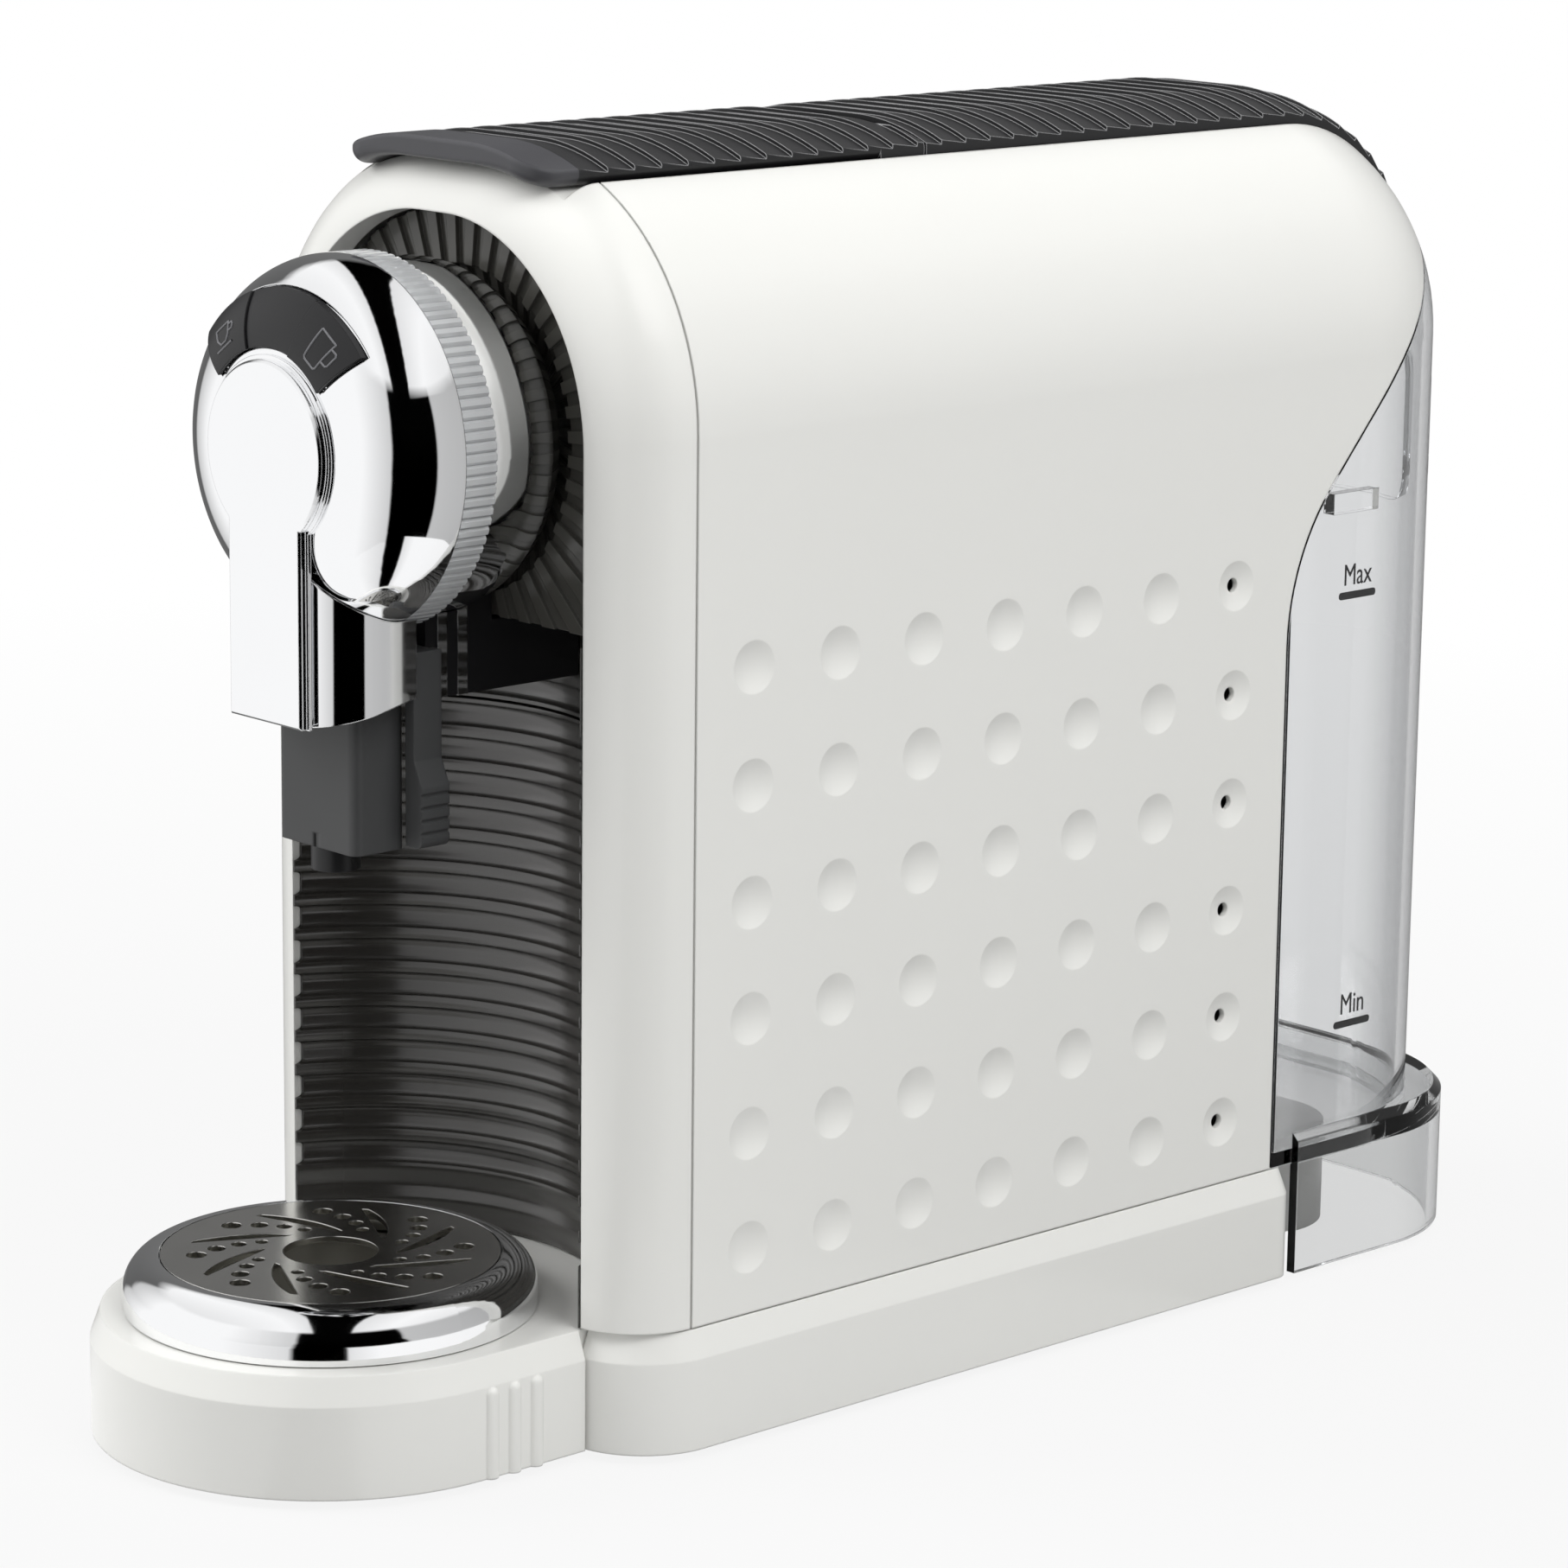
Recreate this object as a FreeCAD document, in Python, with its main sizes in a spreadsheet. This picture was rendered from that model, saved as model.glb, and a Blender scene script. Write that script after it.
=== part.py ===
# Pod coffee machine with a lever, a brew head, a drip tray and a rear water tank.
# Millimetres, +Z up, front towards -Y, origin on the floor under the middle of the outline.
import FreeCAD
import Part
import Sketcher
import math
import os
from types import SimpleNamespace

os.makedirs("parts", exist_ok=True)
doc = FreeCAD.newDocument("pod_coffee_machine")
sheet = doc.addObject("Spreadsheet::Sheet", "dims")
Vector = FreeCAD.Vector

# Driving dimensions
sizes = {
    # casing
    "body_width": 118.0,
    "body_height": 250.0,
    "body_front": 93.0,
    "body_rear": 160.0,
    "shoulder_radius": 50.0,
    "front_round": 16.0,
    "rear_round": 45.0,
    "wall": 2.5,
    "bezel_wall": 6.0,
    "seam_front": 77.0,
    "seam_gap": 0.5,
    "fit": 0.3,
    "opening_width": 90.0,
    "opening_drop": 12.0,
    "opening_radius": 41.0,
    "dimple_columns": 7.0,
    "dimple_rows": 6.0,
    "dimple_pitch_along": 22.4,
    "dimple_pitch_up": 23.0,
    "dimple_first": 62.0,
    "dimple_top": 154.7,
    "dimple_diameter": 10.5,
    "dimple_depth": 1.3,
    "vent_diameter": 3.0,
    # base and feet
    "foot_height": 2.0,
    "foot_radius": 7.0,
    "foot_side": 48.0,
    "foot_front": 74.0,
    "foot_rear": 78.0,
    "base_height": 24.0,
    "base_flare": 2.0,
    "base_corner": 18.0,
    "base_rear_corner": 4.5,
    "base_chamfer": 5.6,
    "base_rear": 94.6,
    "base_wall": 4.0,
    "base_hollow_front": 55.0,
    "plate_thickness": 2.0,
    "boss_radius": 4.0,
    "screw_radius": 1.6,
    "screw_head_radius": 3.0,
    "screw_head_height": 1.0,
    "screw_length": 12.0,
    "tongue_width": 96.0,
    "tongue_rear": 128.0,
    "tongue_clearance": 4.0,
    "gland_radius": 6.0,
    "gland_bore": 3.5,
    "gland_length": 8.0,
    "gland_collar": 1.5,
    "gland_rear": 76.0,
    "gland_height": 13.0,
    # water tank
    "tank_front": 88.4,
    "roof_drop": 91.3,
    "tank_roof_slope": 1.125,
    "tank_roof_round": 49.0,
    "tank_gap": 0.5,
    "tank_wall": 2.2,
    "tank_floor": 2.7,
    "skirt_front": 95.2,
    "skirt_rear": 165.7,
    "skirt_height": 31.0,
    "skirt_round": 38.0,
    "skirt_chamfer": 1.8,
    "grip_width": 70.0,
    "grip_round": 7.0,
    "grip_proud": 4.5,
    "grip_front": 128.0,
    "grip_height": 34.0,
    "grip_drop": 56.0,
    "lug_front": 103.5,
    "lug_length": 14.0,
    "lug_drop": 84.0,
    "lug_height": 4.4,
    "lug_proud": 3.0,
    "port_height": 45.0,
    "port_radius": 5.0,
    "port_bore": 3.0,
    "port_reach": 12.0,
    "socket_length": 15.0,
    "socket_wall": 4.0,
    "seal_width": 2.0,
    "seal_depth": 1.3,
    # lever and rear cover
    "strip_width": 60.0,
    "strip_rise": 2.0,
    "strip_depth": 2.2,
    "lever_front": 92.0,
    "lever_corner": 7.0,
    "lip_round": 0.9,
    "lip_under_round": 2.6,
    "hinge_back": 3.0,
    "hinge_drop": 4.0,
    "barrel_radius": 6.0,
    "pin_radius": 1.8,
    "pin_length": 26.0,
    "ear_width": 3.0,
    "ear_inside": 8.0,
    "ear_radius": 3.5,
    "running_fit": 0.05,
    "rib_pitch": 6.75,
    "rib_depth": 0.9,
    "rib_first": 80.75,
    "rib_bend_sweep": 60.0,
    "crank_inside": 20.0,
    "crank_thickness": 3.0,
    "crank_tilt": 33.0,
    "crank_drop": 15.5,
    "crank_half_width": 4.9,
    "lever_swing": 75.0,
    "crank_play": 0.9,
    # deck and brew group
    "deck_drop": 11.0,
    "deck_thickness": 3.0,
    "deck_front": 76.0,
    "deck_rear": 40.0,
    "slot_width": 36.0,
    "slot_front": 46.0,
    "slot_back": 25.0,
    "head_drop": 54.5,
    "brew_radius": 22.0,
    "injector_front": 24.0,
    "carriage_front": 51.5,
    "carriage_bore": 16.0,
    "carriage_bore_depth": 22.0,
    "wing_height": 11.0,
    "wing_depth": 18.0,
    "rod_side": 31.5,
    "rod_radius": 3.0,
    "rod_front": 76.0,
    "arm_front": 45.0,
    "arm_thickness": 3.5,
    "arm_half_width": 4.5,
    "arm_pin_radius": 2.4,
    # chassis and what it carries
    "bulkhead_back": 22.0,
    "bulkhead_thickness": 4.0,
    "chassis_width": 100.0,
    "chassis_plate": 3.0,
    "chassis_front": 4.0,
    "chassis_rear": 82.0,
    "chassis_inset": 3.4,
    "shelf_drop": 119.0,
    "thermoblock_width": 72.0,
    "thermoblock_depth": 40.0,
    "thermoblock_height": 48.0,
    "thermoblock_round": 6.0,
    "pump_radius": 17.0,
    "pump_length": 30.0,
    "pump_side": 30.0,
    "pump_cap_radius": 8.0,
    "pump_cap_length": 6.0,
    "pump_inlet_length": 2.0,
    "mount_length": 6.0,
    "mount_floor": 4.0,
    "board_width": 64.0,
    "board_height": 34.0,
    "board_thickness": 1.6,
    "board_drop": 58.0,
    "standoff_radius": 3.0,
    "standoff_length": 6.0,
    "hose_radius": 3.5,
    "hose_bend": 9.0,
    "hose_offset": 12.5,
    # brew head
    "collar_radius": 19.8,
    "head_back": 79.0,
    "head_neck_radius": 19.5,
    "head_rim_radius": 34.5,
    "head_wall": 3.0,
    "head_shoulder": 9.0,
    "ring_back": 106.3,
    "ring_front": 113.7,
    "ring_radius": 36.2,
    "ring_bore": 31.8,
    "ring_teeth": 108.0,
    "ring_tooth_depth": 0.55,
    "head_front": 131.3,
    "dome_round": 17.0,
    "dome_wall": 2.5,
    "dome_bore": 12.0,
    "plate_front": 133.5,
    "plate_radius": 17.5,
    "plate_chamfer": 0.5,
    "plate_flange": 0.9,
    "plate_flange_depth": 0.7,
    "stem_width": 22.0,
    "stem_drop": 51.5,
    "panel_inner": 19.5,
    "panel_outer": 31.0,
    "panel_angle": 100.0,
    "panel_middle_angle": 36.0,
    "panel_recess": 1.2,
    "panel_proud": 0.6,
    "key_proud": 1.0,
    "key_lift": 1.1,
    "key_gap_angle": 1.2,
    # spout
    "shroud_width": 36.0,
    "shroud_wall": 2.0,
    "shroud_back": 111.0,
    "shroud_corner": 12.0,
    "shroud_rise": 4.6,
    "column_width": 21.0,
    "column_front": 103.0,
    "column_drop": 49.5,
    "trim_width": 2.4,
    "trim_proud": 0.5,
    "trim_first": 93.0,
    "trim_pitch": 5.0,
    "block_width": 24.0,
    "block_back": 109.0,
    "block_front": 121.5,
    "block_drop": 77.5,
    "block_height": 40.5,
    "block_round": 2.0,
    "nozzle_front": 116.7,
    "nozzle_radius": 4.8,
    "nozzle_bore": 2.5,
    "nozzle_reach": 4.7,
    "nozzle_height": 7.5,
    "clip_back": 104.0,
    "clip_front": 110.7,
    "clip_inside": 14.0,
    "clip_stem": 2.6,
    "clip_flare": 5.0,
    "clip_lift": 1.0,
    "clip_paddle": 17.0,
    "clip_height": 38.0,
    "clip_lug_height": 9.0,
    "clip_grips": 5.0,
    "clip_grip_lift": 3.0,
    "clip_grip_pitch": 2.5,
    "clip_grip_radius": 0.45,
    # lining and capsule bin
    "liner_axis": 110.75,
    "liner_radius": 48.75,
    "liner_wall": 2.5,
    "seam_drop": 58.5,
    "liner_drop": 35.5,
    "liner_rib_pitch": 7.1,
    "liner_rib_depth": 1.0,
    "liner_rib_half": 2.4,
    "collar_step_radius": 32.0,
    "collar_outer": 71.0,
    "collar_rise": 5.0,
    "collar_step": 2.2,
    "collar_wall": 2.4,
    "pleats": 44.0,
    "pleat_depth": 0.9,
    "bin_rear": 5.0,
    "bin_wall": 2.0,
    # drip tray
    "tray_centre": 118.7,
    "tray_radius": 47.0,
    "tray_tongue_back": 63.0,
    "tray_tongue_floor": 4.0,
    "tray_floor": 4.0,
    "rib_count": 3.0,
    "rib_spacing": 5.5,
    "rib_back": 105.5,
    "rib_width": 3.2,
    "rib_proud": 1.0,
    "pan_radius": 36.0,
    "pan_wall": 1.5,
    "pan_rim_height": 28.0,
    "drip_radius": 40.5,
    "drip_top": 36.5,
    "drip_round": 6.6,
    "drip_wall": 2.0,
    "drip_lip": 1.4,
    "grille_radius": 33.2,
    "grille_thickness": 1.2,
    "grille_hub": 9.3,
    "grille_arms": 8.0,
    "grille_hole": 1.3,
    "grille_hole_growth": 0.25,
    "grille_holes": 4.0,
    "grille_slot_inner": 13.0,
    "grille_slot_outer": 28.0,
    "grille_slot_width": 1.4,
    "grille_slot_swell": 2.6,
    "grille_slot_bow": 5.7,
    "grille_sweep": 38.0,
}
for row, (alias, number) in enumerate(sizes.items(), start=1):
    sheet.set(f"A{row}", alias.replace("_", " "))
    sheet.set(f"B{row}", str(number))
    sheet.setAlias(f"B{row}", alias)
doc.recompute()


class Size:
    """A number together with the sheet expression that it comes from."""

    def __init__(self, number, text):
        self.number = number
        self.text = text

    def __add__(self, other):
        other = as_size(other)
        return Size(self.number + other.number, f"({self.text} + {other.text})")

    def __radd__(self, other):
        return as_size(other) + self

    def __sub__(self, other):
        other = as_size(other)
        return Size(self.number - other.number, f"({self.text} - {other.text})")

    def __rsub__(self, other):
        return as_size(other) - self

    def __mul__(self, other):
        other = as_size(other)
        return Size(self.number * other.number, f"({self.text} * {other.text})")

    def __rmul__(self, other):
        return as_size(other) * self

    def __truediv__(self, other):
        other = as_size(other)
        return Size(self.number / other.number, f"({self.text} / {other.text})")

    def __neg__(self):
        return Size(-self.number, f"(-1 * {self.text})")

    def __float__(self):
        return self.number


def as_size(value):
    if isinstance(value, Size):
        return value
    return Size(float(value), f"({float(value)})")


def root(value):
    return Size(math.sqrt(value.number), f"sqrt({value.text})")


dim = SimpleNamespace()
for alias in sizes:
    setattr(dim, alias, Size(float(sheet.get(alias)), f"dims.{alias}"))

base_top = dim.foot_height + dim.base_height
casing_floor = base_top + dim.fit
half_body = dim.body_width / 2
half_strip = dim.strip_width / 2
opening_top = dim.body_height - dim.opening_drop
hinge_height = dim.body_height - dim.hinge_drop
deck_top = dim.body_height - dim.deck_drop
deck_bottom = deck_top - dim.deck_thickness
board_bottom = deck_bottom - dim.board_drop
shelf_height = deck_bottom - dim.shelf_drop
tank_roof = dim.body_height - dim.roof_drop
grip_top = dim.body_height - dim.grip_drop
grip_bottom = grip_top - dim.grip_height
lug_bottom = dim.body_height - dim.lug_drop
head_height = dim.body_height - dim.head_drop
liner_top = head_height - dim.liner_drop
liner_seam = head_height - dim.seam_drop
column_bottom = head_height - dim.column_drop
stem_bottom = head_height - dim.stem_drop
block_bottom = head_height - dim.block_drop
block_top = block_bottom + dim.block_height
nozzle_bottom = block_bottom - dim.nozzle_reach
clip_bottom = block_bottom + dim.clip_lift
clip_shoulder = clip_bottom + dim.clip_paddle
clip_top = clip_bottom + dim.clip_height
clip_lug_bottom = clip_top - dim.clip_lug_height
clip_grip_first = clip_bottom + dim.clip_grip_lift
far = 3 * dim.body_width
# share of a half width that a nearly full rounding takes
full_round = 0.9
nodes = []


# Small modelling helpers

def bind(thing, path, value):
    thing.setExpression(path, as_size(value).text)


def place(thing, x, y, z):
    for axis, value in zip("xyz", (x, y, z)):
        bind(thing, f"Placement.Base.{axis}", value)


def node(thing, label):
    thing.Label = label
    nodes.append(thing)
    return thing


def block(name, x, y, z):
    made = doc.addObject("Part::Box", name)
    for side, (low, high) in zip(("Length", "Width", "Height"), (x, y, z)):
        bind(made, side, high - low)
    place(made, x[0], y[0], z[0])
    return made


turns = {
    "up": FreeCAD.Rotation(),
    "right": FreeCAD.Rotation(Vector(0, 1, 0), 90),
    "back": FreeCAD.Rotation(Vector(1, 0, 0), -90),
    "front": FreeCAD.Rotation(Vector(1, 0, 0), 90),
}


def rod(name, radius, length, start, direction="up"):
    made = doc.addObject("Part::Cylinder", name)
    bind(made, "Radius", radius)
    bind(made, "Height", length)
    made.Placement = FreeCAD.Placement(Vector(), turns[direction])
    place(made, *start)
    return made


def cut(name, base, tool):
    made = doc.addObject("Part::Cut", name)
    made.Base = base
    made.Tool = tool
    return made


def cut_all(name, base, tools):
    for index, tool in enumerate(tools, start=1):
        base = cut(f"{name}_{index}", base, tool)
    return base


def common(name, first, second):
    made = doc.addObject("Part::Common", name)
    made.Base = first
    made.Tool = second
    return made


def fuse(name, pieces):
    made = doc.addObject("Part::MultiFuse", name)
    made.Shapes = pieces
    return made


def mirror(name, source):
    made = doc.addObject("Part::Mirroring", name)
    made.Source = source
    made.Normal = Vector(1, 0, 0)
    return made


def shape(name, made_shape):
    made = doc.addObject("Part::Feature", name)
    made.Shape = made_shape
    return made


def new_body(name):
    return doc.addObject("PartDesign::Body", name)


def sketch(body, plane, offset=0.0):
    made = body.newObject("Sketcher::SketchObject", f"{body.Name}_sketch")
    support = [item for item in body.Origin.OriginFeatures if item.Role == plane][0]
    made.AttachmentSupport = [(support, "")]
    made.MapMode = "FlatFace"
    bind(made, "AttachmentOffset.Base.z", offset)
    return made


def hold(target, kind, *where, value):
    index = target.addConstraint(Sketcher.Constraint(kind, *where, float(value)))
    bind(target, f"Constraints[{index}]", value)


def fixed_point(target, x, y):
    point = target.addGeometry(Part.Point(Vector(float(x), float(y), 0)), True)
    for kind, value, axis in (("DistanceX", x, -2), ("DistanceY", y, -1)):
        if isinstance(value, Size):
            hold(target, kind, -1, 1, point, 1, value=value)
        elif value == 0:
            target.addConstraint(Sketcher.Constraint("PointOnObject", point, 1, axis))
        else:
            target.addConstraint(Sketcher.Constraint(kind, -1, 1, point, 1, float(value)))
    return point


def circle(target, x, y, radius):
    centre = fixed_point(target, x, y)
    ring = target.addGeometry(Part.Circle(Vector(float(x), float(y), 0), Vector(0, 0, 1), float(radius)))
    target.addConstraint(Sketcher.Constraint("Coincident", ring, 3, centre, 1))
    hold(target, "Radius", ring, value=radius)


def corner_arc(before, corner, after, radius):
    """Tangent points, centre and half-way point of the arc that rounds a corner."""
    inward = (before - corner).normalize()
    outward = (after - corner).normalize()
    half_turn = inward.getAngle(outward) / 2
    start = corner + inward * (radius / math.tan(half_turn))
    end = corner + outward * (radius / math.tan(half_turn))
    middle = (inward + outward).normalize()
    centre = corner + middle * (radius / math.sin(half_turn))
    return start, end, centre - middle * radius


def outline(target, corners):
    """Closed loop of lines through corners (x, y) or rounded corners (x, y, radius)."""
    count = len(corners)
    spots = [Vector(float(corner[0]), float(corner[1]), 0) for corner in corners]
    points = [fixed_point(target, corner[0], corner[1]) for corner in corners]
    starts = list(spots)
    ends = list(spots)
    arcs = {}
    for index, corner in enumerate(corners):
        if len(corner) == 3:
            bend = corner_arc(spots[index - 1], spots[index], spots[(index + 1) % count], float(corner[2]))
            ends[index], starts[index] = bend[0], bend[1]
            arcs[index] = bend
    lines = []
    for index in range(count):
        following = (index + 1) % count
        lines.append(target.addGeometry(Part.LineSegment(starts[index], ends[following])))
    for index in range(count):
        before = lines[index - 1]
        after = lines[index]
        if index not in arcs:
            target.addConstraint(Sketcher.Constraint("Coincident", before, 2, points[index], 1))
            target.addConstraint(Sketcher.Constraint("Coincident", after, 1, points[index], 1))
            continue
        start, end, middle = arcs[index]
        arc = target.addGeometry(Part.Arc(start, middle, end))
        arc_start = target.getPoint(arc, 1)
        first, last = (1, 2) if (arc_start - start).Length < (arc_start - end).Length else (2, 1)
        target.addConstraint(Sketcher.Constraint("PointOnObject", points[index], 1, before))
        target.addConstraint(Sketcher.Constraint("PointOnObject", points[index], 1, after))
        target.addConstraint(Sketcher.Constraint("Tangent", before, 2, arc, first))
        target.addConstraint(Sketcher.Constraint("Tangent", arc, last, after, 1))
        hold(target, "Radius", arc, value=corners[index][2])


def pad(body, profile, length, both_ways=False):
    made = body.newObject("PartDesign::Pad", f"{body.Name}_pad")
    made.Profile = profile
    bind(made, "Length", length)
    if both_ways:
        made.SideType = "Symmetric"
    return made


def spin(body, profile, angle=360.0, both_ways=False):
    made = body.newObject("PartDesign::Revolution", f"{body.Name}_turn")
    made.Profile = profile
    made.ReferenceAxis = (profile, ["V_Axis"])
    bind(made, "Angle", angle)
    made.Midplane = both_ways
    return made


def soften(body, base, radius, chosen, kind="PartDesign::Fillet", size_name="Radius"):
    """Round or chamfer the edges of base that the test picks out."""
    doc.recompute()
    names = [f"Edge{index}" for index, edge in enumerate(base.Shape.Edges, start=1) if chosen(edge.BoundBox)]
    made = body.newObject(kind, f"{body.Name}_soft")
    made.Base = (base, names)
    bind(made, size_name, radius)
    return made


def edge_finish(name, base, kind, choose):
    """Part fillet or chamfer; choose gives the size for an edge's box, or nothing."""
    doc.recompute()
    made = doc.addObject(kind, name)
    made.Base = base
    picked = []
    for index, edge in enumerate(base.Shape.Edges, start=1):
        size = choose(edge.BoundBox)
        if size is not None:
            picked.append((index, float(size), float(size)))
    made.Edges = picked
    return made


def near(value, target):
    return abs(value - float(target)) < 0.01


def prism(name, plane, corners, offset, length, both_ways=False):
    body = new_body(name)
    profile = sketch(body, plane, offset)
    outline(profile, corners)
    pad(body, profile, length, both_ways)
    return body


def turned(name, corners, direction, start, angle=360.0, swing=0.0):
    """Solid of revolution; corners are (radius, distance along the axis)."""
    body = new_body(name)
    full = angle == 360.0
    profile = sketch(body, "XZ_Plane" if full else "YZ_Plane")
    outline(profile, corners)
    spin(body, profile, angle, not full)
    turn = FreeCAD.Rotation(Vector(0, 0, 1), swing)
    body.Placement = FreeCAD.Placement(Vector(), turns[direction].multiply(turn))
    place(body, *start)
    return body


# Casing envelope that the shells, the lever strip and the tank are cut from

def envelope(name, inset, front=None):
    """Arch-shaped prism drawn in by inset; a given front is left square, the own front is rounded."""
    body = new_body(name)
    half = half_body - inset
    top = dim.body_height - inset
    shoulder = dim.shoulder_radius - inset
    rear = dim.body_rear - inset
    reach = front if front is not None else dim.body_front - inset
    floor = dim.foot_height
    profile = sketch(body, "XZ_Plane", -rear)
    outline(profile, [(-half, floor), (half, floor), (half, top, shoulder), (-half, top, shoulder)])
    solid = pad(body, profile, rear + reach)

    def on_rear_rim(box):
        return near(box.YMin, rear) and near(box.YMax, rear) and box.ZMax > float(floor) + 1

    def on_front_rim(box):
        return near(box.YMin, -reach) and near(box.YMax, -reach) and box.ZMax > float(floor) + 1

    solid = soften(body, solid, dim.rear_round - inset, on_rear_rim)
    if front is None:
        soften(body, solid, dim.front_round - inset, on_front_rim)
    doc.recompute()
    return body


strip_reach = dim.lever_front + dim.lever_corner
casing = envelope("casing", 0 * dim.wall)
casing_inside = envelope("casing_inside", dim.wall)
bezel_inside = envelope("bezel_inside", dim.bezel_wall)
strip_top = envelope("strip_top", -dim.strip_rise, strip_reach)
strip_under = envelope("strip_under", dim.strip_depth, strip_reach)
below_strip = envelope("below_strip", dim.strip_depth + dim.fit, strip_reach)
chassis_room = envelope("chassis_room", dim.chassis_inset)
tank_inside = envelope("tank_inside", dim.tank_wall)


def tank_space(name, inset):
    """Room of the tank behind and under the S-shaped edge of the side panels."""
    front = dim.tank_front + inset
    slope = dim.tank_roof_slope
    roof = tank_roof - inset * (root(slope * slope + 1) - slope)
    run = dim.body_rear
    low = -dim.base_height
    corners = [
        (front, low),
        (front, roof, dim.tank_roof_round),
        (front + run, roof + run * slope),
        (front + run, low),
    ]
    return prism(name, "YZ_Plane", corners, 0.0, far, True)


tank_room = tank_space("tank_room", 0 * dim.tank_gap)
tank_body_room = tank_space("tank_body_room", dim.tank_gap)
tank_wall_room = tank_space("tank_wall_room", -dim.wall)


# Side panels with their dimples and vents

def panel_tools(make):
    """Shapes for each dimple place, by column and row."""
    made = []
    for column in range(round(float(dim.dimple_columns))):
        for row in range(round(float(dim.dimple_rows))):
            along = column * float(dim.dimple_pitch_along) - float(dim.dimple_first)
            height = float(dim.dimple_top) - row * float(dim.dimple_pitch_up)
            tool = make(column, Vector(float(half_body), along, height))
            if tool:
                made.append(tool)
    return Part.makeCompound(made)


def dish(column, place_at):
    depth = float(dim.dimple_depth)
    radius = (float(dim.dimple_diameter) ** 2 / 4 + depth ** 2) / (2 * depth)
    return Part.makeSphere(radius, place_at + Vector(radius - depth, 0, 0))


def vent(column, place_at):
    if column < round(float(dim.dimple_columns)) - 1:
        return None
    length = 4 * float(dim.wall)
    start = place_at - Vector(length / 2, 0, 0)
    return Part.makeCylinder(float(dim.vent_diameter) / 2, length, start, Vector(1, 0, 0))


dishes = shape("dishes", panel_tools(dish))
vents = shape("vents", panel_tools(vent))
side_zone = block(
    "side_zone",
    (half_strip + dim.seam_gap, far),
    (dim.seam_gap - dim.seam_front, far),
    (casing_floor, far),
)
casing_shell = cut("casing_shell", casing, casing_inside)
panel_blank = common("panel_blank", casing_shell, side_zone)
panel = node(cut_all("panel", panel_blank, [tank_room, dishes, vents]), "side_panel_right")
node(mirror("panel_mirror", panel), "side_panel_left")

# Front bezel
bezel_zone = block("bezel_zone", (-far, far), (-far, -dim.seam_front), (casing_floor, far))
half_opening = dim.opening_width / 2


def arch(name, clearance, back, front):
    half = half_opening - clearance
    top = opening_top - clearance
    radius = dim.opening_radius - clearance
    low = dim.foot_height
    corners = [(-half, low), (half, low), (half, top, radius), (-half, top, radius)]
    return prism(name, "XZ_Plane", corners, back, front - back)


opening = arch("opening", 0 * dim.fit, dim.seam_front - dim.wall, dim.body_front + dim.wall)
strip_zone = block(
    "strip_zone",
    (-half_strip - dim.seam_gap, half_strip + dim.seam_gap),
    (-far, far),
    (opening_top - dim.bezel_wall, far),
)
above_bezel = cut("above_bezel", strip_zone, below_strip)
bezel_shell = cut("bezel_shell", casing, bezel_inside)
bezel_blank = common("bezel_blank", bezel_shell, bezel_zone)
node(cut_all("bezel", bezel_blank, [above_bezel, opening]), "front_bezel")


# Lever with its hinge barrel, crank arms and ribs

def shingle_wedges():
    """Wedges above the strip that leave each rib high at its front edge; the last follow the rear curve."""
    pitch = float(dim.rib_pitch)
    depth = float(dim.rib_depth)
    half = float(half_strip)
    bend = float(dim.rear_round)
    bend_start = float(dim.body_rear) - bend
    centre = Vector(0, bend_start, float(dim.body_height) - bend)
    reach = bend + float(dim.strip_rise)
    turn = pitch / reach
    section = Part.Face(strip_top.Shape.slice(Vector(0, 1, 0), 0.0)[0])

    slab = Part.makeBox(2 * half, pitch, 2 * bend, Vector(-half, 0, centre.z))
    flat = slab.cut(section.extrude(Vector(0, pitch, -depth)))
    made = []
    for step in range(1, round((float(dim.rib_first) + bend_start) / pitch) + 1):
        copy = flat.copy()
        copy.translate(Vector(0, bend_start - step * pitch, 0))
        made.append(copy)
    low = reach / 2
    high = 2 * reach
    fan_corners = [
        Vector(-half, 0, low),
        Vector(-half, 0, high),
        Vector(-half, high * math.sin(turn), high * math.cos(turn)),
        Vector(-half, low * math.sin(turn), low * math.cos(turn)),
        Vector(-half, 0, low),
    ]
    fan = Part.Face(Part.makePolygon(fan_corners)).extrude(Vector(2 * half, 0, 0))
    fan.translate(centre)
    section.translate(Vector(0, bend_start, 0))
    fall = depth + pitch * math.tan(turn / 2)
    run = 2 * pitch
    curved = fan.cut(section.extrude(Vector(0, run, -fall * run / pitch)))
    for step in range(int(math.radians(float(dim.rib_bend_sweep)) / turn)):
        copy = curved.copy()
        copy.rotate(centre, Vector(1, 0, 0), -math.degrees(step * turn))
        made.append(copy)
    return made[0].multiFuse(made[1:]).removeSplitter()


rib_cuts = shape("rib_cuts", shingle_wedges())
strip_shell = cut("strip_shell", strip_top, strip_under)
lever_half = half_strip - dim.fit
lever_plan = prism(
    "lever_plan",
    "XY_Plane",
    [
        (-lever_half, dim.hinge_back),
        (-lever_half, -dim.lever_front, dim.lever_corner),
        (lever_half, -dim.lever_front, dim.lever_corner),
        (lever_half, dim.hinge_back),
    ],
    deck_top,
    dim.body_height - deck_top + 2 * dim.barrel_radius,
)
barrel_rod = rod(
    "barrel_rod", dim.barrel_radius, 2 * lever_half, (-lever_half, dim.hinge_back, hinge_height), "right"
)
lever_flat = common("lever_flat", strip_shell, lever_plan)


def lip_size(box):
    """Small rounding along the top of the lip, a large one under it."""
    if box.YMax > float(dim.lever_corner - dim.lever_front) + 1 or box.YLength + box.XLength < 1:
        return None
    if box.ZMax > float(dim.body_height - dim.strip_depth):
        return dim.lip_round
    return dim.lip_under_round


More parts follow.
